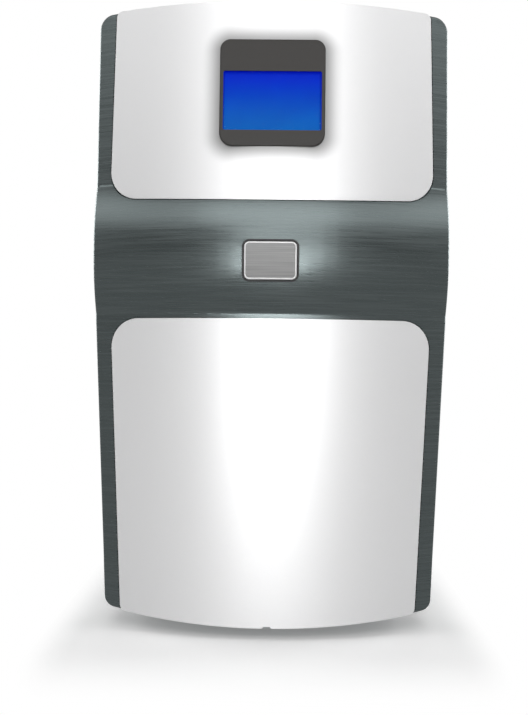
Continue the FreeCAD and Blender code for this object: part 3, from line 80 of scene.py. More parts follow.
# %% Camera
SENSOR = 36.0                       # mm, on the picture's long side
LENS = 56.85                        # mm
camera_place = Vector((0.00819, -1.131, 0.24592))
camera_yaw = math.radians(-0.784)
camera_pitch = math.radians(0.812)  # downwards
camera_roll = math.radians(0.650)

level = Vector((math.sin(camera_yaw), math.cos(camera_yaw), 0))
right = Vector((math.cos(camera_yaw), -math.sin(camera_yaw), 0))
ahead = level * math.cos(camera_pitch) - Vector((0, 0, math.sin(camera_pitch)))
above = level * math.sin(camera_pitch) + Vector((0, 0, math.cos(camera_pitch)))
turned_right = right * math.cos(camera_roll) + above * math.sin(camera_roll)
turned_up = above * math.cos(camera_roll) - right * math.sin(camera_roll)

camera_data = bpy.data.cameras.new("camera")
camera_data.sensor_width = SENSOR
camera_data.lens = LENS
camera = bpy.data.objects.new("camera", camera_data)
bpy.context.scene.collection.objects.link(camera)
camera.matrix_world = Matrix.Translation(camera_place) @ Matrix(
    (turned_right, turned_up, -ahead)).transposed().to_4x4()
bpy.context.scene.camera = camera
print("camera at", tuple(camera_place))

# %% [markdown]
# ## Sums on sockets
# A procedural finish is mostly arithmetic on node sockets.  Adding Math nodes by hand hides the
# formula, so a small class wraps a socket and lets `+`, `-`, `*`, `/` and `**` add the nodes.  It
# serves shader trees and geometry trees alike.


# %% Socket
class Socket:
    """An output socket that can be used in Python sums."""

    def __init__(self, graph, socket):
        self.graph = graph
        self.socket = socket

    def _math(self, operation, first, second):
        return self.graph.node("ShaderNodeMath", {"operation": operation}, {0: first, 1: second})

    def __add__(self, other):
        return self._math("ADD", self, other)

    def __sub__(self, other):
        return self._math("SUBTRACT", self, other)

    def __rsub__(self, other):
        return self._math("SUBTRACT", other, self)

    def __mul__(self, other):
        return self._math("MULTIPLY", self, other)

    def __truediv__(self, other):
        return self._math("DIVIDE", self, other)

    def __rtruediv__(self, other):
        return self._math("DIVIDE", other, self)

    def __pow__(self, other):
        return self._math("POWER", self, other)

    def largest(self, other):
        return self._math("MAXIMUM", self, other)

    def smallest(self, other):
        return self._math("MINIMUM", self, other)

    def size(self):
        return self._math("ABSOLUTE", self, 0.0)

    def ramp(self, low, high, start=0.0, end=1.0):
        """Goes smoothly from start at low to end at high, and stays there."""
        settings = {"interpolation_type": "SMOOTHSTEP"}
        return self.graph.node("ShaderNodeMapRange", settings,
                               {0: self, 1: low, 2: high, 3: start, 4: end})

    __radd__ = __add__
    __rmul__ = __mul__


# %% [markdown]
# ## One method for every node
# A node tree is made by the same three steps again and again: add a node, set it up, and feed its
# sockets.  One method does all three.  It takes the node's type, its settings, and for each
# socket either a value or a link from another node.  Noise, stretching and mixing are so common
# that they get short names of their own.


# %% Graph
class Graph:
    """A node tree with one method that makes nodes."""

    def __init__(self, tree):
        self.tree = tree

    def node(self, kind, settings=None, inputs=None, output=0):
        made = self.tree.nodes.new(kind)
        for name, value in (settings or {}).items():
            if name == "stops":
                self.set_stops(made.color_ramp, value)
            else:
                setattr(made, name, value)
        for name, value in (inputs or {}).items():
            if isinstance(value, Socket):
                self.tree.links.new(value.socket, made.inputs[name])
            else:
                made.inputs[name].default_value = value
        return Socket(self, made.outputs[output]) if len(made.outputs) else made

    def set_stops(self, ramp, stops):
        while len(ramp.elements) < len(stops):
            ramp.elements.new(0.5)
        for element, (position, colour) in zip(ramp.elements, stops):
            element.position = position
            element.color = (*colour, 1)

    def noise(self, place, scale, detail=3.0):
        inputs = {"Vector": place, "Scale": scale, "Detail": detail}
        return self.node("ShaderNodeTexNoise", {}, inputs)

    def stretched(self, place, scales):
        """The place with each direction scaled, for grain and streaks."""
        return self.node("ShaderNodeMapping", {}, {"Vector": place, "Scale": scales})

    def mixed(self, factor, first, second):
        """A colour between two colours."""
        inputs = {0: factor}
        for index, colour in ((6, first), (7, second)):
            inputs[index] = colour if isinstance(colour, Socket) else (*colour, 1)
        return self.node("ShaderNodeMix", {"data_type": "RGBA"}, inputs, 2)


# %% [markdown]
# ## A finish
# Each finish is one Principled shader.  Its fixed values sit on the shader's own sockets, and
# what varies over the surface is linked to them.  All patterns read the piece's own place in
# metres, so a scale of 1000 means one pattern cell a millimetre, on every piece and in every
# view.


# %% Finish
class Finish(Graph):
    """A material: a Principled shader whose fixed values and varying sockets are given by name."""

    def __init__(self, name):
        self.material = bpy.data.materials.new(name)
        self.material.use_nodes = True
        self.material.node_tree.nodes.clear()
        super().__init__(self.material.node_tree)
        self.place = self.node("ShaderNodeTexCoord", output=3)

    def along(self, axis):
        """The place along X, Y or Z, in metres."""
        return self.node("ShaderNodeSeparateXYZ", {}, {0: self.place}, "XYZ".index(axis))

    def bump(self, height, strength, distance):
        return self.node("ShaderNodeBump", {}, {"Height": height, "Strength": strength,
                                                "Distance": distance})

    def surface(self, inputs):
        shader = self.node("ShaderNodeBsdfPrincipled", {}, inputs)
        self.node("ShaderNodeOutputMaterial", {}, {"Surface": shader})
        return self.material


def dress(names, material):
    """Gives CAD nodes a finish through their own material slots."""
    for name in names:
        mesh = nodes[name].data
        mesh.materials.clear()
        mesh.materials.append(material)
    print(material.name, "on", ", ".join(names))


# %% [markdown]
# ## The brushed moulding
# The frame of the front is moulded plastic with a grey-green metallic skin, brushed sideways.
# The brushing is thousands of fine scratches that are long across the machine and a fraction of a
# millimetre high.  Noise does that when its vertical direction is scaled far more than the other
# two, and because it follows X and Y alike the grain also runs round the corner to the sides.
# The scratches change the colour, the roughness and the bump a little; a picture would repeat
# itself.

# %% Brushed moulding
BRUSHED_GREY = (0.128, 0.152, 0.153)
BRUSHED_PALE = (0.160, 0.186, 0.187)
SCRATCH_SCALES = (18, 18, 1150)
CLOUD_SCALES = (6, 6, 16)
CLOUD_SHARE = 0.08

finish = Finish("brushed_moulding")
streaks = finish.noise(finish.stretched(finish.place, SCRATCH_SCALES), 1.0, 2.0)
cloud = finish.noise(finish.stretched(finish.place, CLOUD_SCALES), 1.0, 2.0)
grain = streaks * (1 - CLOUD_SHARE) + cloud * CLOUD_SHARE
moulding = finish.surface({
    "Base Color": finish.mixed(grain.ramp(0.30, 0.72), BRUSHED_GREY, BRUSHED_PALE),
    "Roughness": grain.ramp(0.3, 0.7, 0.25, 0.33),
    "Metallic": 0.95,
    "Normal": finish.bump(streaks, 0.25, 0.00006),
})
dress(["front_fascia"], moulding)

# %% [markdown]
# ## How far from an outline
# Two finishes change with the distance from a rounded box: the upper panel's paint, which has a
# painted shade round the display frame, and the button's cap, which has a painted highlight on
# its bevel.  Both outlines could be painted by hand on a UV map.  A formula is shorter and follows
# the solids: outside the box the distance is that to the nearest side or corner, and inside it is
# negative.


# %% Distance from a rounded box
def from_outline(finish, low, high, corner):
    """How far a point is outside a box with rounded corners, seen from the front, in metres."""
    middle = (low + high) / 2
    half = (high - low) / 2
    across = (finish.along("X") - middle.x).size() - (half.x - corner)
    upright = (finish.along("Z") - middle.z).size() - (half.z - corner)
    outside = across.largest(0.0) ** 2.0 + upright.largest(0.0) ** 2.0
    return outside ** 0.5 + across.largest(upright).smallest(0.0) - corner


# %% [markdown]
# ## The white panels
# Both white panels are sheet with a pearl paint: a pale metallic layer under clear lacquer,
# brightest where it faces the light and greyer where the bow turns away.  A mostly matt white
# with some metallic in it does this by itself, with no painted shading.  The lacquer is nearly
# smooth, so its bump is the faint orange peel of sprayed paint.  Round the display frame the
# upper panel has a painted shade: grey mixed into its colour, deepest at the frame and fading
# with the distance from the frame's outline.

# %% Pearl paint
PEARL = (0.90, 0.90, 0.905)
# The grey of the painted shade round the display frame.
SHADE_GREY = (0.26, 0.26, 0.26)


def pearl_paint(name, metallic, shade=None):
    finish = Finish(name)
    peel = finish.noise(finish.place, 420.0, 2.0)
    flakes = finish.noise(finish.place, 5200.0, 1.0)
    colour = finish.mixed(flakes.ramp(0.35, 0.65), PEARL, [tone * 1.04 for tone in PEARL])
    # Painted shade: the shade function's grey is mixed into the colour.
    if shade:
        colour = finish.mixed(shade(finish), colour, SHADE_GREY)
    return finish.surface({
        "Base Color": colour,
        "Roughness": flakes.ramp(0.3, 0.7, 0.39, 0.47),
        "Metallic": metallic,
        "Coat Weight": 0.10,
        "Coat Roughness": 0.12,
        "Normal": finish.bump(peel, 0.08, 0.0002),
    })


# %% White panels
# The shade round the display frame is painted into the upper panel's colour.
SHADE_REACH = 0.017                 # how far the display frame's shade goes
SHADE_DEPTH = 0.86                  # and how much of it there is at the frame's edge
FRAME_CORNER = 0.010
display_low, display_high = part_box("display_bezel")


def frame_shade(finish):
    """How much painted shade a point gets, from its distance to the display frame."""
    away = from_outline(finish, display_low, display_high, FRAME_CORNER)
    return away.ramp(-0.001, SHADE_REACH, 1.0, 0.0) ** 1.2 * SHADE_DEPTH


dress(["upper_panel"], pearl_paint("pearl_paint_upper", 0.66, frame_shade))
dress(["door_panel"], pearl_paint("pearl_paint_door", 0.50))

# %% [markdown]
# ## The display's frame and screen
# The frame is warm black plastic with a fine spark-eroded grain.  The screen is a lit
# liquid-crystal panel with nothing on it: deep blue above, brighter blue below, and darker along
# its top and right rims where the backlight fades.  It sends out light, so its colours are on the
# emission socket.

# %% Display frame and screen
finish = Finish("spark_eroded_plastic")
grain = finish.noise(finish.place, 2600.0, 3.0)
bezel = finish.surface({
    "Base Color": finish.mixed(grain.ramp(0.3, 0.7), (0.017, 0.015, 0.013), (0.027, 0.024, 0.021)),
    "Roughness": grain.ramp(0.3, 0.7, 0.42, 0.56),
    "Normal": finish.bump(grain, 0.25, 0.00008),
})
dress(["display_bezel"], bezel)

BACKLIGHT = [                       # height on the screen, and its colour there
    (0.00, (0.004, 0.130, 0.480)), (0.20, (0.003, 0.115, 0.510)), (0.55, (0.000, 0.062, 0.540)),
    (0.85, (0.000, 0.028, 0.600)), (1.00, (0.000, 0.014, 0.520))]
RIM_BLUE = (0.0, 0.002, 0.30)
screen_low, screen_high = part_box("display_window")
finish = Finish("blue_screen")
height = (finish.along("Z") - screen_low.z) / (screen_high.z - screen_low.z)
across = (finish.along("X") - screen_low.x) / (screen_high.x - screen_low.x)
glow = finish.node("ShaderNodeValToRGB", {"stops": BACKLIGHT}, {0: height})
rim = height.ramp(0.93, 1.0).largest(across.ramp(0.955, 1.0)).largest(across.ramp(0.03, 0.0))
mottle = finish.noise(finish.place, 60.0, 2.0).ramp(0.3, 0.7, 0.0, 0.10)
screen = finish.surface({
    "Base Color": (0.0, 0.002, 0.01, 1),
    "Roughness": 0.35,
    "Specular IOR Level": 0.04,
    "Emission Color": finish.mixed((rim * 0.8).largest(mottle), glow, RIM_BLUE),
    "Emission Strength": 1.0,
})
dress(["lcd_screen"], screen)

# %% [markdown]
# ## The display's window
# The window is a clear sheet in front of the screen.  Real glass would bend the light, which
# costs render time and shows nothing on so thin a sheet.  Here it only lets the light through and
# adds a little gloss, with smudges that make the gloss uneven.

# %% Display window
finish = Finish("display_glass")
clear = finish.node("ShaderNodeBsdfTransparent", {}, {"Color": (0.97, 0.98, 1.0, 1)})
gloss = finish.node("ShaderNodeBsdfPrincipled", {}, {
    "Base Color": (0.0, 0.0, 0.0, 1), "Roughness": 0.08, "Specular IOR Level": 0.5})
smudge = finish.noise(finish.place, 45.0, 3.0).ramp(0.35, 0.75, 0.010, 0.022)
blend = finish.node("ShaderNodeMixShader", {}, {0: smudge, 1: clear, 2: gloss})
finish.node("ShaderNodeOutputMaterial", {}, {"Surface": blend})
dress(["display_window"], finish.material)

# %% [markdown]
# ## Push button
# The cap is a block of aluminium, brushed sideways like the belt, with a bright bevel all round.
# Its grain is coarser and its colour far paler than the moulding's.  The bevel is a real one on
# the solid and smoother than the face, but its brightness is a painted highlight: a near-white,
# less metallic colour.  How far a point lies inside the cap's outline tells which of the two it
# is on.

# %% Button
BEVEL = 0.0013                      # how far the bevel reaches in from the outline
CAP_CORNER = 0.0045
cap_low, cap_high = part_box("button_cap")
finish = Finish("brushed_aluminium")
inside = from_outline(finish, cap_low, cap_high, CAP_CORNER)
# Painted highlight: the bevel's bright rim is a near-white, less metallic colour.
painted_bevel_highlight = inside.ramp(-BEVEL * 1.15, -BEVEL * 0.85)
streaks = finish.noise(finish.stretched(finish.place, (14, 14, 1500)), 1.0, 2.0)
brushed = finish.mixed(streaks.ramp(0.3, 0.7), (0.22, 0.22, 0.22), (0.34, 0.34, 0.34))
button_metal = finish.surface({
    # The near-white colour on the bevel is a painted highlight.
    "Base Color": finish.mixed(painted_bevel_highlight, brushed, (0.86, 0.86, 0.86)),
    "Roughness": streaks.ramp(0.3, 0.7, 0.56, 0.64) - painted_bevel_highlight * 0.25,
    "Metallic": 0.9 - painted_bevel_highlight * 0.5,
    "Normal": finish.bump(streaks, 0.3, 0.00008),
})
dress(["button_cap"], button_metal)

# %% [markdown]
# ## Plastic, powder coat and rubber
# Inside and behind, the machine is made of a few ordinary materials.  One function per kind of
# finish, with the colour as its argument, keeps them alike where the real ones are alike.  The
# dull ones differ in their texture: moulded plastic has a fine grain and slow flow marks, powder
# coat shallow pimples, and old rubber a pale bloom.


# %% Dull finishes
def moulded(name, colour, rough=0.45, grain_size=1800.0, coat=0.0):
    """Injection-moulded plastic: fine grain and slow flow marks."""
    finish = Finish(name)
    fine = finish.noise(finish.place, grain_size, 2.0)
    flow = finish.noise(finish.place, 14.0, 2.0)
    darker = [tone * 0.86 for tone in colour]
    return finish.surface({
        "Base Color": finish.mixed(flow.ramp(0.3, 0.7), darker, colour),
        "Roughness": fine.ramp(0.3, 0.7, rough - 0.05, rough + 0.08),
        "Coat Weight": coat,
        "Normal": finish.bump(fine, 0.15, 0.00006),
    })


def powder_coat(name, colour):
    """Fine-textured powder coat: shallow pimples and a dull sheen."""
    finish = Finish(name)
    pimples = finish.noise(finish.place, 950.0, 2.0)
    darker = [tone * 0.93 for tone in colour]
    return finish.surface({
        "Base Color": finish.mixed(pimples.ramp(0.3, 0.7), darker, colour),
        "Roughness": pimples.ramp(0.3, 0.7, 0.48, 0.62),
        "Normal": finish.bump(pimples, 0.35, 0.00018),
    })


def rubber(name, colour):
    """Black rubber: matt, with a pale bloom in patches."""
    finish = Finish(name)
    bloom = finish.noise(finish.place, 60.0, 4.0)
    paler = [tone * 1.7 + 0.01 for tone in colour]
    return finish.surface({
        "Base Color": finish.mixed(bloom.ramp(0.4, 0.8), colour, paler),
        "Roughness": bloom.ramp(0.3, 0.7, 0.72, 0.86),
        "Normal": finish.bump(finish.noise(finish.place, 1200.0), 0.2, 0.00008),
    })


# %% [markdown]
# ## Metals
# Zinc-plated sheet shows the crystals of its plating, called spangle, under faint rolling lines.
# Voronoi cells with one random tone each look like those crystals.  Turned and drawn metal has
# fine lines square to the way it was drawn or to the axis that it was turned on, which is the
# brushed moulding's noise again, with the axis as an argument.


# %% Metal finishes
def plated_sheet(name, colour, rough=0.34):
    """Zinc-plated sheet: the spangle of the plating and faint rolling lines."""
    finish = Finish(name)
    spangle = finish.node("ShaderNodeTexVoronoi", {}, {"Vector": finish.place, "Scale": 150.0},
                          "Color")
    patch = finish.node("ShaderNodeSeparateXYZ", {}, {0: spangle})
    lines = finish.noise(finish.stretched(finish.place, (30, 30, 900)), 1.0, 2.0)
    tone = patch * 0.5 + lines * 0.5
    darker = [value * 0.84 for value in colour]
    return finish.surface({
        "Base Color": finish.mixed(tone.ramp(0.2, 0.8), darker, colour),
        "Roughness": tone.ramp(0.2, 0.8, rough - 0.06, rough + 0.10),
        "Metallic": 1.0,
        "Normal": finish.bump(lines, 0.08, 0.00005),
    })


def drawn_metal(name, colour, rough=0.22, axis="Z"):
    """Turned or drawn metal, its fine lines square to the given axis."""
    finish = Finish(name)
    scales = [12.0, 12.0, 12.0]
    scales["XYZ".index(axis)] = 1600.0
    lines = finish.noise(finish.stretched(finish.place, scales), 1.0, 2.0)
    darker = [tone * 0.82 for tone in colour]
    return finish.surface({
        "Base Color": finish.mixed(lines.ramp(0.3, 0.7), darker, colour),
        "Roughness": lines.ramp(0.3, 0.7, rough - 0.05, rough + 0.08),
        "Metallic": 1.0,
        "Normal": finish.bump(lines, 0.12, 0.00004),
    })


# %% [markdown]
# ## Cabinet and inner parts
# The cover and the rear panel are powder-coated, the folded sheet inside is bare zinc plate, and
# hinges, pins and magnets are harder metals.  Most wet parts are pale plastic, as water fittings
# are, the valves are brass, and the electrical parts are black, as connectors and switches are.

# %% Sheet metal, feet and steel
dress(["enclosure_cover", "rear_panel", "uv_ballast"],
      powder_coat("pale_powder_coat", (0.56, 0.575, 0.575)))
dress(["bulkhead", "base_tray", "shelf", "bay_liner", "hinge_brackets", "switch_bracket",
       "uv_clamps", "pump_bracket"],
      plated_sheet("zinc_plated_sheet", (0.60, 0.62, 0.64)))
dress(["feet", "pump_mounts"], rubber("black_rubber", (0.018, 0.018, 0.019)))
dress(["hinge_arms"], plated_sheet("die_cast_zinc", (0.50, 0.51, 0.52), 0.44))
dress(["hinge_pins", "button_spring", "cover_screws"],
      drawn_metal("bright_steel", (0.62, 0.61, 0.60)))
dress(["magnet_strikes"], drawn_metal("strike_steel", (0.36, 0.36, 0.37), 0.46, "X"))
dress(["door_magnets"], drawn_metal("nickel_plate", (0.68, 0.66, 0.61), 0.18, "Y"))
dress(["power_supply"], drawn_metal("folded_aluminium", (0.66, 0.67, 0.68), 0.36))
dress(["uv_chamber"], drawn_metal("polished_stainless", (0.64, 0.63, 0.61), 0.20))
dress(["valve_bodies", "inlet_pins"], drawn_metal("machined_brass", (0.62, 0.45, 0.19), 0.26))

# %% Plastics inside and behind
dress(["door_liner"], moulded("pale_liner_plastic", (0.66, 0.67, 0.67)))
dress(["button_housing", "button_stem", "switch_plunger", "micro_switch", "uv_end_caps",
       "pump_head", "valve_coils"], moulded("dark_plastic", (0.022, 0.022, 0.024)))
dress(["power_inlet", "power_switch_frame"],
      moulded("black_connector_plastic", (0.016, 0.016, 0.017), 0.36))
dress(["power_rocker"], moulded("glossy_black_plastic", (0.014, 0.014, 0.015), 0.24, 400.0, 0.3))
dress(["manifold_head", "conductivity_cells"], moulded("grey_manifold", (0.21, 0.24, 0.27)))
dress(["cartridge_1", "cartridge_2", "cartridge_3", "cartridge_4", "ro_vessel"],
      moulded("white_canister", (0.78, 0.79, 0.80), 0.30, 700.0, 0.15))
dress(["ro_end_caps", "feed_port", "reject_port", "tank_port", "product_port", "port_nuts"],
      moulded("off_white_acetal", (0.70, 0.70, 0.67), 0.38))
dress(["pump_motor"], moulded("black_enamel", (0.030, 0.030, 0.033), 0.30, 300.0, 0.4))

# %% [markdown]
# ## Circuit boards
# A board is green lacquer over copper: the tracks show as slightly paler lines.  A brick pattern
# with wide bricks gives long parallel tracks with breaks in them, which reads as wiring and costs
# one node.

# %% Circuit board
finish = Finish("green_board")
tracks = finish.node("ShaderNodeTexBrick", {"offset": 0.37}, {
    "Vector": finish.place, "Scale": 160.0, "Mortar Size": 0.06, "Brick Width": 2.4,
    "Row Height": 0.35}, "Fac")
board = finish.surface({
    "Base Color": finish.mixed(tracks, (0.010, 0.085, 0.030), (0.020, 0.150, 0.055)),
    "Roughness": tracks.ramp(0.0, 1.0, 0.30, 0.42),
    "Normal": finish.bump(tracks, 0.2, 0.00004),
})
dress(["display_board", "control_board"], board)

# %% [markdown]
# ## Small fittings from rules
# Screws, bolts, terminals and the parts on a board are one small shape set at many places.  They
# could be copied by hand, but a rule keeps them alike and easy to change.  Geometry Nodes fit
# that: a recipe makes the shape once from named sizes, sets it at each place of a seed mesh,
# turns it to face the way that place asks, and makes the copies real.  The Boolean nodes use the
# exact solver, because the quick one leaves gaps where two faces lie in one plane.


# %% Recipe
class Recipe(Graph):
    """A geometry-node tree with named sizes, for one shape at many places."""

    def __init__(self, name, sizes):
        super().__init__(bpy.data.node_groups.new(name, "GeometryNodeTree"))
        interface = self.tree.interface
        interface.new_socket("Places", in_out="INPUT", socket_type="NodeSocketGeometry")
        interface.new_socket("Fittings", in_out="OUTPUT", socket_type="NodeSocketGeometry")
        self.sizes = sizes
        self.identifiers = {}
        for label in sizes:
            made = interface.new_socket(label, in_out="INPUT", socket_type="NodeSocketFloat")
            self.identifiers[label] = made.identifier
        self.entry = self.tree.nodes.new("NodeGroupInput")

    def given(self, label):
        return Socket(self, self.entry.outputs[label])

    def all_given(self):
        """The sockets of the named sizes, in the order in which they were named."""
        return [self.given(label) for label in self.sizes]

    def chance(self, low, high, seed):
        """A random number for each place, the same on every run."""
        return self.node("FunctionNodeRandomValue", {}, {2: low, 3: high, 8: seed}, 1)

    def moved(self, shape, across=0.0, deep=0.0, up=0.0):
        place = self.node("ShaderNodeCombineXYZ", {}, {0: across, 1: deep, 2: up})
        return self.node("GeometryNodeTransform", {}, {"Geometry": shape, "Translation": place})

    def block(self, width, depth, height):
        """A block that stands on the ground plane."""
        size = self.node("ShaderNodeCombineXYZ", {}, {0: width, 1: depth, 2: height})
        shape = self.node("GeometryNodeMeshCube", {}, {"Size": size})
        return self.moved(shape, up=height * 0.5)

    def drum(self, sides, low_radius, high_radius, height):
        """A round or many-sided drum that stands on the ground plane."""
        return self.node("GeometryNodeMeshCone", {}, {
            "Vertices": sides, "Radius Bottom": low_radius, "Radius Top": high_radius,
            "Depth": height})

    def carved(self, operation, first, *others):
        node = self.tree.nodes.new("GeometryNodeMeshBoolean")
        node.operation = operation
        node.solver = "EXACT"
        joined = list(others)
        if operation == "DIFFERENCE":
            self.tree.links.new(first.socket, node.inputs[0])
        else:
            joined.insert(0, first)
        for shape in joined:
            self.tree.links.new(shape.socket, node.inputs[1])
        return Socket(self, node.outputs[0])

    def set_out(self, shape, material, turn=0.0, chosen=True):
        """Sets the shape at the places, faces it along each place's direction and dresses it."""
        facing = self.node("GeometryNodeInputNamedAttribute", {"data_type": "FLOAT_VECTOR"},
                           {"Name": "facing"})
        aimed = self.node("FunctionNodeAlignRotationToVector", {"axis": "Z"}, {"Vector": facing})
        twist = self.node("FunctionNodeAxisAngleToRotation", {}, {"Axis": (0, 0, 1),
                                                                  "Angle": turn})
        rotation = self.node("FunctionNodeRotateRotation", {"rotation_space": "LOCAL"},
                             {"Rotation": aimed, "Rotate By": twist})
        copies = self.node("GeometryNodeInstanceOnPoints", {}, {
            "Points": self.given("Places"), "Selection": chosen, "Instance": shape,
            "Rotation": rotation})
        real = self.node("GeometryNodeRealizeInstances", {}, {"Geometry": copies})
        dressed = self.node("GeometryNodeSetMaterial", {}, {"Geometry": real,
                                                            "Material": material})
        self.node("NodeGroupOutput", {}, {0: dressed})


# %% [markdown]
# ## Running a recipe
# A recipe runs as a modifier on a mesh that is nothing but points, each with the direction that
# its fitting faces.  The evaluated result is copied into a plain mesh that rides on one body of
# the machine, and the points with their modifier are thrown away.

# %% Grow
EDGE_ANGLE = math.radians(32)       # edges sharper than this stay sharp


def grow(recipe, name, places, body="cabinet", replaced=(), **sizes):
    """Runs a recipe on (point, direction) pairs and keeps the result as a mesh on a body."""
    seeds = bpy.data.meshes.new(name + "_places")
    seeds.from_pydata([point for point, direction in places], [], [])
    facing = seeds.attributes.new("facing", "FLOAT_VECTOR", "POINT")
    for item, (point, direction) in zip(facing.data, places):
        item.vector = direction
    maker = bpy.data.objects.new(name + "_maker", seeds)
    bpy.context.scene.collection.objects.link(maker)
    modifier = maker.modifiers.new("recipe", "NODES")
    modifier.node_group = recipe.tree
    for label, value in {**recipe.sizes, **sizes}.items():
        modifier[recipe.identifiers[label]] = value
    graph = bpy.context.evaluated_depsgraph_get()
    mesh = bpy.data.meshes.new_from_object(maker.evaluated_get(graph), depsgraph=graph)
    bpy.data.objects.remove(maker)
    material = [given for given in mesh.materials if given][0]
    mesh.materials.clear()          # the Boolean nodes leave an empty slot in front
    mesh.materials.append(material)
    mesh.polygons.foreach_set("material_index", [0] * len(mesh.polygons))
    mesh.shade_smooth()
    mesh.set_sharp_from_angle(angle=EDGE_ANGLE)
    piece = bpy.data.objects.new(name, mesh)
    bpy.context.scene.collection.objects.link(piece)
    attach(piece, body)
    if replaced:
        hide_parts(*replaced)
    print(name, "of", material.name, "at", len(places), "places:", len(mesh.polygons), "faces")
    return piece


# %% [markdown]
# ## Screw heads
# The sheet metal is held by pan-head screws with a cross recess.  The head is a drum cut by a
# large ball, which gives the low dome, and two crossed blocks cut out the recess.  Boolean nodes
# do that on one head only; the copies cost nothing.  Each screw is turned by its own seeded
# angle, as no two real ones stop alike.

# %% Pan-head screw
DOME_SHARE = 0.5                    # share of the head's height
RECESS_LONG = 1.15                  # share of the head's radius
RECESS_WIDE = 0.24                  # share of the head's radius
RECESS_START = 0.42                 # share of the head's height
SCREW_SEED = 5

screw_steel = drawn_metal("zinc_plated_screw", (0.66, 0.66, 0.64), 0.30)
pan_head = Recipe("pan_head_screws", {"Radius": 0.0032, "Height": 0.0019})
radius, height = pan_head.all_given()
dome_rise = height * DOME_SHARE
dome_radius = (radius * radius + dome_rise * dome_rise) / (dome_rise * 2.0)
ball = pan_head.node("GeometryNodeMeshUVSphere", {}, {"Segments": 24, "Rings": 26,
                                                     "Radius": dome_radius})
ball = pan_head.moved(ball, up=height - dome_radius)
head = pan_head.carved("INTERSECT", pan_head.drum(24, radius, radius, height), ball)
recess = [pan_head.moved(pan_head.block(radius * long, radius * wide, height),
                         up=height * RECESS_START)
          for long, wide in ((RECESS_LONG, RECESS_WIDE), (RECESS_WIDE, RECESS_LONG))]
head = pan_head.carved("DIFFERENCE", head, *recess)
pan_head.set_out(head, screw_steel, pan_head.chance(0.0, math.pi, SCREW_SEED))
print("pan-head recipe:", len(pan_head.tree.nodes), "nodes")

# %% [markdown]
# ## Where the screws go
# A place is a point on a face and the way that face looks.  The rear panel has a row of screws
# along each edge, the mains inlet one at each side, and the cover two in each flank, which stand
# for the plain CAD ones.  Inside, screws hold the hinge brackets, the magnets' strikes and the
# two cases.

# %% Screws at the back and sides
LEFT, RIGHT = (-1, 0, 0), (1, 0, 0)
FRONT, BACK = (0, -1, 0), (0, 1, 0)
REAR_FACE = 0.199
REAR_COLUMN = 0.130                 # from the middle to the screws beside each upright edge
REAR_ROWS = (0.028, 0.146, 0.264, 0.382, 0.508)
rear_places = [(x, z) for x in (-REAR_COLUMN, REAR_COLUMN) for z in REAR_ROWS]
rear_places += [(x, z) for x in (-REAR_COLUMN / 2, 0.0, REAR_COLUMN / 2)
                for z in (REAR_ROWS[0], REAR_ROWS[-1])]
grow(pan_head, "rear_panel_screws", [((x, REAR_FACE, z), BACK) for x, z in rear_places])

SMALL_HEAD = {"Radius": 0.0024, "Height": 0.0014}
INLET_FACE = 0.202
INLET_SCREWS_X = (0.0640, 0.1040)
INLET_Z = 0.420
grow(pan_head, "inlet_screws", [((x, INLET_FACE, INLET_Z), BACK) for x in INLET_SCREWS_X],
     **SMALL_HEAD)

SIDE_FACE = 0.138
COVER_SCREWS_Y = (-0.103, 0.1775)
COVER_SCREWS_Z = 0.0225
grow(pan_head, "cover_side_screws",
     [((side[0] * SIDE_FACE, y, COVER_SCREWS_Z), side) for side in (LEFT, RIGHT)
      for y in COVER_SCREWS_Y], replaced=["cover_screws"], Radius=0.003, Height=0.0016)

# %% Screws inside
UP = (0, 0, 1)
BRACKET_FACE = -0.127
BRACKET_X = -0.1312
BRACKET_SCREWS_Z = (0.0553, 0.0847, 0.2003, 0.2297)
STRIKE_FACE = -0.1265
STRIKE_SCREWS = ((0.12425, 0.062), (0.13055, 0.222))
grow(pan_head, "bracket_screws",
     [((BRACKET_X, BRACKET_FACE, z), FRONT) for z in BRACKET_SCREWS_Z]
     + [((x, STRIKE_FACE, z), FRONT) for x, z in STRIKE_SCREWS], Radius=0.0026, Height=0.0016)

SUPPLY_INSET_X, SUPPLY_INSET_Y = 0.007, 0.010
BALLAST_INSET = 0.008
supply_low, supply_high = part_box("power_supply")
ballast_low, ballast_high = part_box("uv_ballast")
case_corners = [(x, y, supply_high.z)
                for x in (supply_low.x + SUPPLY_INSET_X, supply_high.x - SUPPLY_INSET_X)
                for y in (supply_low.y + SUPPLY_INSET_Y, supply_high.y - SUPPLY_INSET_Y)]
case_corners += [(x, (ballast_low.y + ballast_high.y) / 2, ballast_high.z)
                 for x in (ballast_low.x + BALLAST_INSET, ballast_high.x - BALLAST_INSET)]
grow(pan_head, "case_screws", [(corner, UP) for corner in case_corners], **SMALL_HEAD)

# %% [markdown]
# ## Pump bolts
# The pump's head is drawn to its motor by four hexagon bolts on washers.  A six-sided drum cut by
# a wide cone gets the rounded chamfer of a real bolt head, and the washer is one more drum joined
# on.

# %% Hexagon bolts
CONE_FOOT, CONE_TOP = 1.9, 0.84     # radii of the chamfering cone, as shares of the bolt's
WASHER_RADIUS = 1.3                 # share of the bolt's radius
WASHER_HEIGHT = 0.22                # share of the bolt's height
BOLT_SEED = 8

hexagon = Recipe("hexagon_bolts", {"Radius": 0.0044, "Height": 0.0032})
radius, height = hexagon.all_given()
chamfer = hexagon.drum(36, radius * CONE_FOOT, radius * CONE_TOP, height)
bolt = hexagon.carved("INTERSECT", hexagon.drum(6, radius, radius, height), chamfer)
washer = hexagon.drum(32, radius * WASHER_RADIUS, radius * WASHER_RADIUS, height * WASHER_HEIGHT)
hexagon.set_out(hexagon.carved("UNION", bolt, washer), screw_steel,
                hexagon.chance(0.0, 1.0, BOLT_SEED))

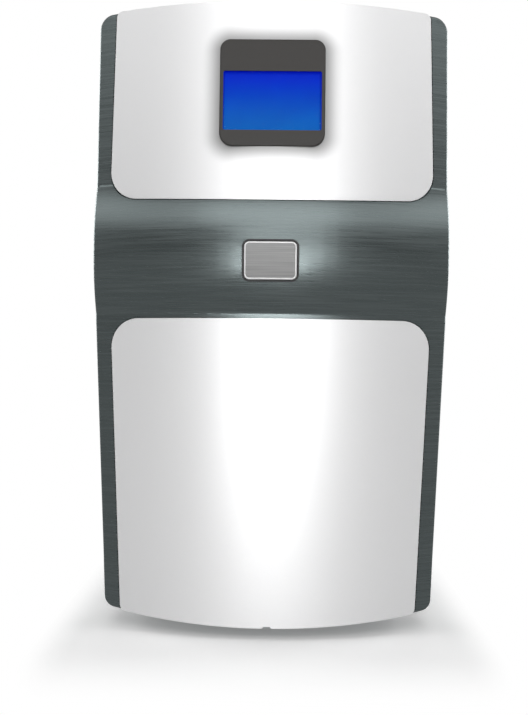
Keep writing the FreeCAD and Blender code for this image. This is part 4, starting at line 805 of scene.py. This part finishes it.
PUMP_X, PUMP_Z = -0.066, 0.0625     # the pump's axis
BOLT_REACH = 0.025                  # from the axis to each bolt, across and upwards
pump_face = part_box("pump_head")[0].y
bolt_places = [(PUMP_X + x * BOLT_REACH, pump_face, PUMP_Z + z * BOLT_REACH)
               for x in (-1, 1) for z in (-1, 1)]
grow(hexagon, "pump_bolts", [(place, FRONT) for place in bolt_places])

# %% [markdown]
# ## Terminals
# Each valve coil ends in two blades for push-on connectors: a flat tinned tongue with a hole near
# its tip.  A block less a drum is all that takes.

# %% Coil blades
HOLE_RADIUS = 0.13                  # share of the blade's width
HOLE_PLACE = 0.68                   # share of its height
tinned = drawn_metal("tinned_brass", (0.70, 0.68, 0.62), 0.28)
blade = Recipe("push_on_blades", {"Width": 0.0063, "Thickness": 0.0008, "Height": 0.008})
width, thickness, height = blade.all_given()
hole = blade.drum(16, width * HOLE_RADIUS, width * HOLE_RADIUS, thickness * 4.0)
hole = blade.node("GeometryNodeTransform", {}, {"Geometry": hole,
                                                "Rotation": (math.pi / 2, 0, 0)})
hole = blade.moved(hole, deep=thickness * 2.0, up=height * HOLE_PLACE)
blade.set_out(blade.carved("DIFFERENCE", blade.block(width, thickness, height), hole), tinned)

COIL_TOP = 0.0755                   # the flat top of a coil, beside its nut
VALVE_PITCH = 0.036
BLADE_REACH = 0.0065                # from a coil's middle to each of its blades
BLADE_INSET = 0.004                 # from a coil's rear face
coil_low, coil_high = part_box("valve_coils")
coils_middle = (coil_low.x + coil_high.x) / 2
blade_places = [(coils_middle + number * VALVE_PITCH + side * BLADE_REACH,
                 coil_high.y - BLADE_INSET, COIL_TOP)
                for number in (-1, 0, 1) for side in (-1, 1)]
grow(blade, "coil_blades", [(place, UP) for place in blade_places], Width=0.0048)

# %% [markdown]
# ## The button's spring
# A coil spring round the stem pushes the cap back out.  Its wire follows a helix whose end turns
# lie flat against each other, which a plain helix hasn't got: the height is the sum of a part
# that grows evenly, one wire a turn, and a part that rises only between the end turns.  A circle
# swept along that curve is the spring.  It is pressed between the cap and the guide plate; its
# mesh rides on the cabinet and is a copy of its own.

# %% Coil spring
WIRE = 0.0005                       # radius of the wire
CLOSED_PITCH = 2.08                 # rise of a closed turn, in wire radii

spring_steel = drawn_metal("wound_spring_steel", (0.60, 0.60, 0.59), 0.24, "Y")
coil = Recipe("coil_spring", {"Radius": 0.0052, "Wire": WIRE, "Turns": 7.0, "Height": 0.015})
radius, wire, turns, height = coil.all_given()
path = coil.node("GeometryNodeCurveSpiral", {}, {
    "Resolution": 28, "Rotations": turns, "Start Radius": radius, "End Radius": radius,
    "Height": 0.0})
share = coil.node("GeometryNodeSplineParameter")
even = turns * wire * CLOSED_PITCH
rise = share * even + share.ramp(1.0 / turns, 1.0 - 1.0 / turns) * (height - even)
lift = coil.node("ShaderNodeCombineXYZ", {}, {2: rise})
path = coil.node("GeometryNodeSetPosition", {}, {"Geometry": path, "Offset": lift})
section = coil.node("GeometryNodeCurvePrimitiveCircle", {}, {"Resolution": 10, "Radius": wire})
swept = coil.node("GeometryNodeCurveToMesh", {}, {"Curve": path, "Profile Curve": section,
                                                  "Fill Caps": True})
coil.set_out(swept, spring_steel)

# %% Spring round the stem
spring_low, spring_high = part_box("button_spring")
spring_z = (spring_low.z + spring_high.z) / 2
spring_length = spring_high.y - spring_low.y
spring = grow(coil, "return_spring", [((0, spring_low.y + WIRE, spring_z), BACK)],
              replaced=["button_spring"], Height=spring_length - 2 * WIRE)
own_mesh(spring)
print("spring", round(spring_length * 1000, 2), "mm long")

# %% [markdown]
# ## Cells of the control board
# A real board is crowded but regular: chips, round capacitors and open plug headers stand in
# rows.  The board's top is divided into cells, and a seeded random number picks what each cell
# holds.  All recipes draw the same number, so no two of them use one cell.  The four corner cells
# stay free for the board's fixings.

# %% Board cells
CELL = 0.0135
BOARD_MARGIN = 0.005                # free along each edge
KINDS = 4.0                         # three kinds of part and the empty cell
BOARD_SEED = 21

board_low, board_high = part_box("control_board")
board_middle = (board_low + board_high) / 2
cells_across, cells_deep = [
    int((board_high[axis] - board_low[axis] - 2 * BOARD_MARGIN) / CELL) for axis in (0, 1)]
cells = [((board_middle.x + (column - (cells_across - 1) / 2) * CELL,
           board_middle.y + (row - (cells_deep - 1) / 2) * CELL, board_high.z), UP)
         for column in range(cells_across) for row in range(cells_deep)]
corners = {0, cells_deep - 1, len(cells) - cells_deep, len(cells) - 1}
cells = [cell for index, cell in enumerate(cells) if index not in corners]
print(len(cells), "cells on the board")


def board_recipe(name, kind, sizes):
    """A recipe, the choice of the cells whose number falls in its kind, and its sizes."""
    recipe = Recipe(name, sizes)
    number = recipe.chance(0.0, KINDS, BOARD_SEED)
    return recipe, 0.5 - (number - (kind + 0.5)).size(), *recipe.all_given()


# %% [markdown]
# ## Chips
# A chip is a dark block with a round notch that marks its first leg, and a comb of legs below it.
# The comb is a block on each point of a short line.  Body and legs are two recipes, because each
# ends in one material.

# %% Chips and their legs
NOTCH = 0.0007
LEG_COUNT = 7
LEG_SHARE = 0.055                   # of the comb's width
COMB_REACH = 0.45                   # share of the width from the middle to the last leg

chip, chosen, width, depth, height = board_recipe(
    "chips", 0, {"Width": 0.0100, "Depth": 0.0060, "Height": 0.0018})
notch = chip.moved(chip.drum(12, NOTCH, NOTCH, height), across=width * -0.5, up=height * 0.7)
chip.set_out(chip.carved("DIFFERENCE", chip.block(width, depth, height), notch),
             moulded("chip_resin", (0.020, 0.020, 0.022), 0.5), 0.0, chosen)
grow(chip, "board_chips", cells)

legs, chosen, width, depth, height = board_recipe(
    "chip_legs", 0, {"Width": 0.0092, "Depth": 0.0086, "Height": 0.0009})
ends = [legs.node("ShaderNodeCombineXYZ", {}, {0: width * reach})
        for reach in (-COMB_REACH, COMB_REACH)]
row = legs.node("GeometryNodeMeshLine", {"mode": "END_POINTS"}, {
    "Count": LEG_COUNT, "Start Location": ends[0], "Offset": ends[1]})
leg = legs.block(width * LEG_SHARE, depth, height)
comb = legs.node("GeometryNodeInstanceOnPoints", {}, {"Points": row, "Instance": leg})
legs.set_out(legs.node("GeometryNodeRealizeInstances", {}, {"Geometry": comb}), tinned, 0.0,
             chosen)
grow(legs, "board_chip_legs", cells)

# %% [markdown]
# ## Capacitors and plug headers
# A capacitor is an aluminium can with a slightly narrower top, and a plug header is an open nylon
# box.  Two drums and two blocks are enough for both at this size.

# %% Capacitors and plug headers
CAN_SHARE = 0.94                    # straight part of the can's height
CAN_TOP = 0.86                      # radius of its top, as a share
HEADER_MOUTH = (0.84, 0.70)         # width and depth of the mouth, as shares
HEADER_FLOOR = 0.25                 # share of the header's height

can, chosen, radius, height = board_recipe("capacitors", 1, {"Radius": 0.0042, "Height": 0.0110})
top = can.moved(can.drum(20, radius, radius * CAN_TOP, height * (1 - CAN_SHARE)),
                up=height * CAN_SHARE)
can.set_out(can.carved("UNION", can.drum(20, radius, radius, height * CAN_SHARE), top),
            drawn_metal("capacitor_can", (0.62, 0.62, 0.63), 0.30), 0.0, chosen)
grow(can, "board_capacitors", cells)

header, chosen, width, depth, height = board_recipe(
    "plug_headers", 2, {"Width": 0.0105, "Depth": 0.0060, "Height": 0.0070})
mouth = header.block(width * HEADER_MOUTH[0], depth * HEADER_MOUTH[1], height)
mouth = header.moved(mouth, up=height * HEADER_FLOOR)
header.set_out(header.carved("DIFFERENCE", header.block(width, depth, height), mouth),
               moulded("header_nylon", (0.66, 0.64, 0.57), 0.42), 0.0, chosen)
grow(header, "board_headers", cells)

# %% [markdown]
# ## Floor
# The machine stands on a plain pale floor that has to look white, yet keep the soft shadow under
# the machine.  One matt white can't do both, so the floor blends two surfaces: near the machine
# it is matt and shows the shadow, and further off it sends out plain white.  The blend follows
# the distance from the machine's own box.  Polished parts see a dimmer floor, or the steel and
# the belt would turn white from below.

# %% Floor
FLOOR_REACH = 6.0
floor_mesh = bpy.data.meshes.new("floor")
floor_mesh.from_pydata([(x * FLOOR_REACH, y * FLOOR_REACH, 0) for x, y in
                        ((-1, -1), (1, -1), (1, 1), (-1, 1))], [], [(0, 1, 2, 3)])
floor = bpy.data.objects.new("floor", floor_mesh)
bpy.context.scene.collection.objects.link(floor)
print("floor", 2 * FLOOR_REACH, "m wide")

# %% Floor finish
NEAR_FLOOR = 0.01                   # nearer to the machine than this the floor shows its shadow
FAR_FLOOR = 0.15                    # and beyond this it is plain white
SIDE_WEIGHT = 14.0                  # at the sides the shadow is narrower than in front
PALE_FLOOR = (0.80, 0.80, 0.80, 1)  # what the floor gives back to the machine
SEEN_FLOOR = (1.20, 1.20, 1.20, 1)  # what the camera sees near the machine
NEAR_GLOW = 0.15                    # share of plain white under the machine
MIRRORED_FLOOR = 0.42               # how bright it looks in a polished surface
WHITE = (1, 1, 1, 1)

finish = Finish("white_floor")
cad_high = cad_box[1]
across = (finish.along("X").size() - cad_high[0]).largest(0.0)
along = (finish.along("Y").size() - cad_high[1]).largest(0.0)
away = ((across * across) * SIDE_WEIGHT + along * along) ** 0.5
seen = finish.node("ShaderNodeLightPath", output="Is Camera Ray")
through = finish.node("ShaderNodeLightPath", output="Is Transmission Ray")
mirrored = finish.node("ShaderNodeLightPath", output="Is Glossy Ray")
pale = finish.node("ShaderNodeBsdfDiffuse", {}, {"Color": PALE_FLOOR})
bright = finish.node("ShaderNodeBsdfDiffuse", {}, {"Color": SEEN_FLOOR})
plain = finish.node("ShaderNodeEmission", {}, {"Color": WHITE, "Strength": 1.0})
dim = finish.node("ShaderNodeEmission", {}, {"Color": WHITE, "Strength": MIRRORED_FLOOR})
faded = finish.node("ShaderNodeMixShader", {}, {
    0: away.ramp(NEAR_FLOOR, FAR_FLOOR, NEAR_GLOW, 1.0), 1: bright, 2: plain})
matt = finish.node("ShaderNodeMixShader", {}, {0: seen.largest(through), 1: pale, 2: faded})
lit = finish.node("ShaderNodeMixShader", {}, {0: mirrored, 1: matt, 2: dim})
finish.node("ShaderNodeOutputMaterial", {}, {"Surface": lit})
floor_mesh.materials.append(finish.material)
print(finish.material.name, "fades from", NEAR_FLOOR, "to", FAR_FLOOR, "m")

# %% [markdown]
# ## Room
# A studio is white walls and a row of lamps.  The camera sees plain white everywhere.  Matt
# surfaces get an even light from all sides, so that every side of the machine shows its own
# colour.  Polished ones reflect a plainer room: darker behind the camera, paler to the sides and
# the back, with one band of lamps high in front.  That band makes the pale stripe along the top
# of the belt.

# %% World
ROOM_LIGHT = 0.26                   # what the room gives to matt surfaces
FRONT_WALL = 0.12                   # what polished surfaces see behind the camera
BACK_WALL = 0.40                    # and behind the machine
LEFT_WALL, RIGHT_WALL = 0.20, 0.26  # added at the sides
LEFT_LAMP, RIGHT_LAMP = 1.25, 1.40  # the row of lamps above the camera, at its two ends
ROW_FOOT = (0.30, 0.48)             # heights of the row's soft lower and upper edges
ROW_TOP = (0.74, 0.62)

world = bpy.data.worlds.new("white_room")
world.use_nodes = True
world.node_tree.nodes.clear()
room = Graph(world.node_tree)
seen = room.node("ShaderNodeLightPath", output="Is Camera Ray")
mirrored = room.node("ShaderNodeLightPath", output="Is Glossy Ray")
through = room.node("ShaderNodeLightPath", output="Is Transmission Ray")
direction = room.node("ShaderNodeTexCoord", output="Generated")
sideways, depth, height = [room.node("ShaderNodeSeparateXYZ", {}, {0: direction}, index)
                           for index in range(3)]
walls = (depth.ramp(-0.3, 0.3, FRONT_WALL, BACK_WALL)
         + sideways.ramp(-0.6, -0.85, 0.0, LEFT_WALL)
         + sideways.ramp(0.6, 0.85, 0.0, RIGHT_WALL))
row = depth.ramp(0.2, -0.1) * height.ramp(*ROW_FOOT) * height.ramp(*ROW_TOP)
lamps = row * sideways.ramp(-0.8, 0.8, LEFT_LAMP, RIGHT_LAMP)
shown = seen.largest(through).largest(mirrored * (walls + lamps))
sky = room.node("ShaderNodeBackground", {}, {"Color": WHITE,
                                             "Strength": shown.largest(ROOM_LIGHT)})
room.node("ShaderNodeOutputWorld", {}, {"Surface": sky})
bpy.context.scene.world = world
print(world.name, "with", len(world.node_tree.nodes), "nodes")


# %% [markdown]
# ## Lamps
# Large area lamps give soft edges.  Each has one job: the belt's upper half and the leaning
# panel, the middle of the belt, the middle of the door, the door's foot, and then the top, the
# two sides and the back.  Those in front are narrow for their distance, because a bowed white
# panel looks bowed only when its middle is brighter than its edges.

# %% Lamps
LAMPS = [                           # name, place, what it points at, width, height, watts
    ("light_belt", (0.0, -1.45, 1.27), (0, -0.2, 0.33), 1.5, 0.6, 3.2),
    ("light_middle", (0.1, -1.75, 0.80), (0, 0, 0.33), 1.1, 0.4, 2.4),
    ("light_front", (0.08, -1.9, 0.22), (0, 0, 0.22), 1.15, 0.60, 6.7),
    ("light_low", (0.0, -1.3, 0.06), (0, -0.2, 0.12), 0.5, 0.10, 2.0),
    ("light_over", (0.0, 0.35, 2.1), (0, 0.1, 0), 1.2, 1.2, 5.0),
    ("light_left", (-1.9, 0.95, 0.75), (-0.15, 0.05, 0.25), 1.0, 1.0, 18.0),
    ("light_right", (1.9, 0.95, 0.75), (0.15, 0.05, 0.25), 1.0, 1.0, 18.0),
    ("light_back", (0.0, 2.2, 0.80), (0, 0.2, 0.25), 1.4, 1.0, 17.0),
]
for name, place, target, width, height, power in LAMPS:
    data = bpy.data.lights.new(name, "AREA")
    data.shape = "RECTANGLE"
    data.size = width
    data.size_y = height
    data.energy = power
    light = bpy.data.objects.new(name, data)
    light.location = place
    light.rotation_euler = (Vector(target) - Vector(place)).to_track_quat("-Z", "Y").to_euler()
    bpy.context.scene.collection.objects.link(light)
    print(name, power, "W")

# %% [markdown]
# ## The end
# The standard view transform shows a colour as it was written.

# %% Finish the scene
bpy.context.scene.view_settings.view_transform = "Standard"
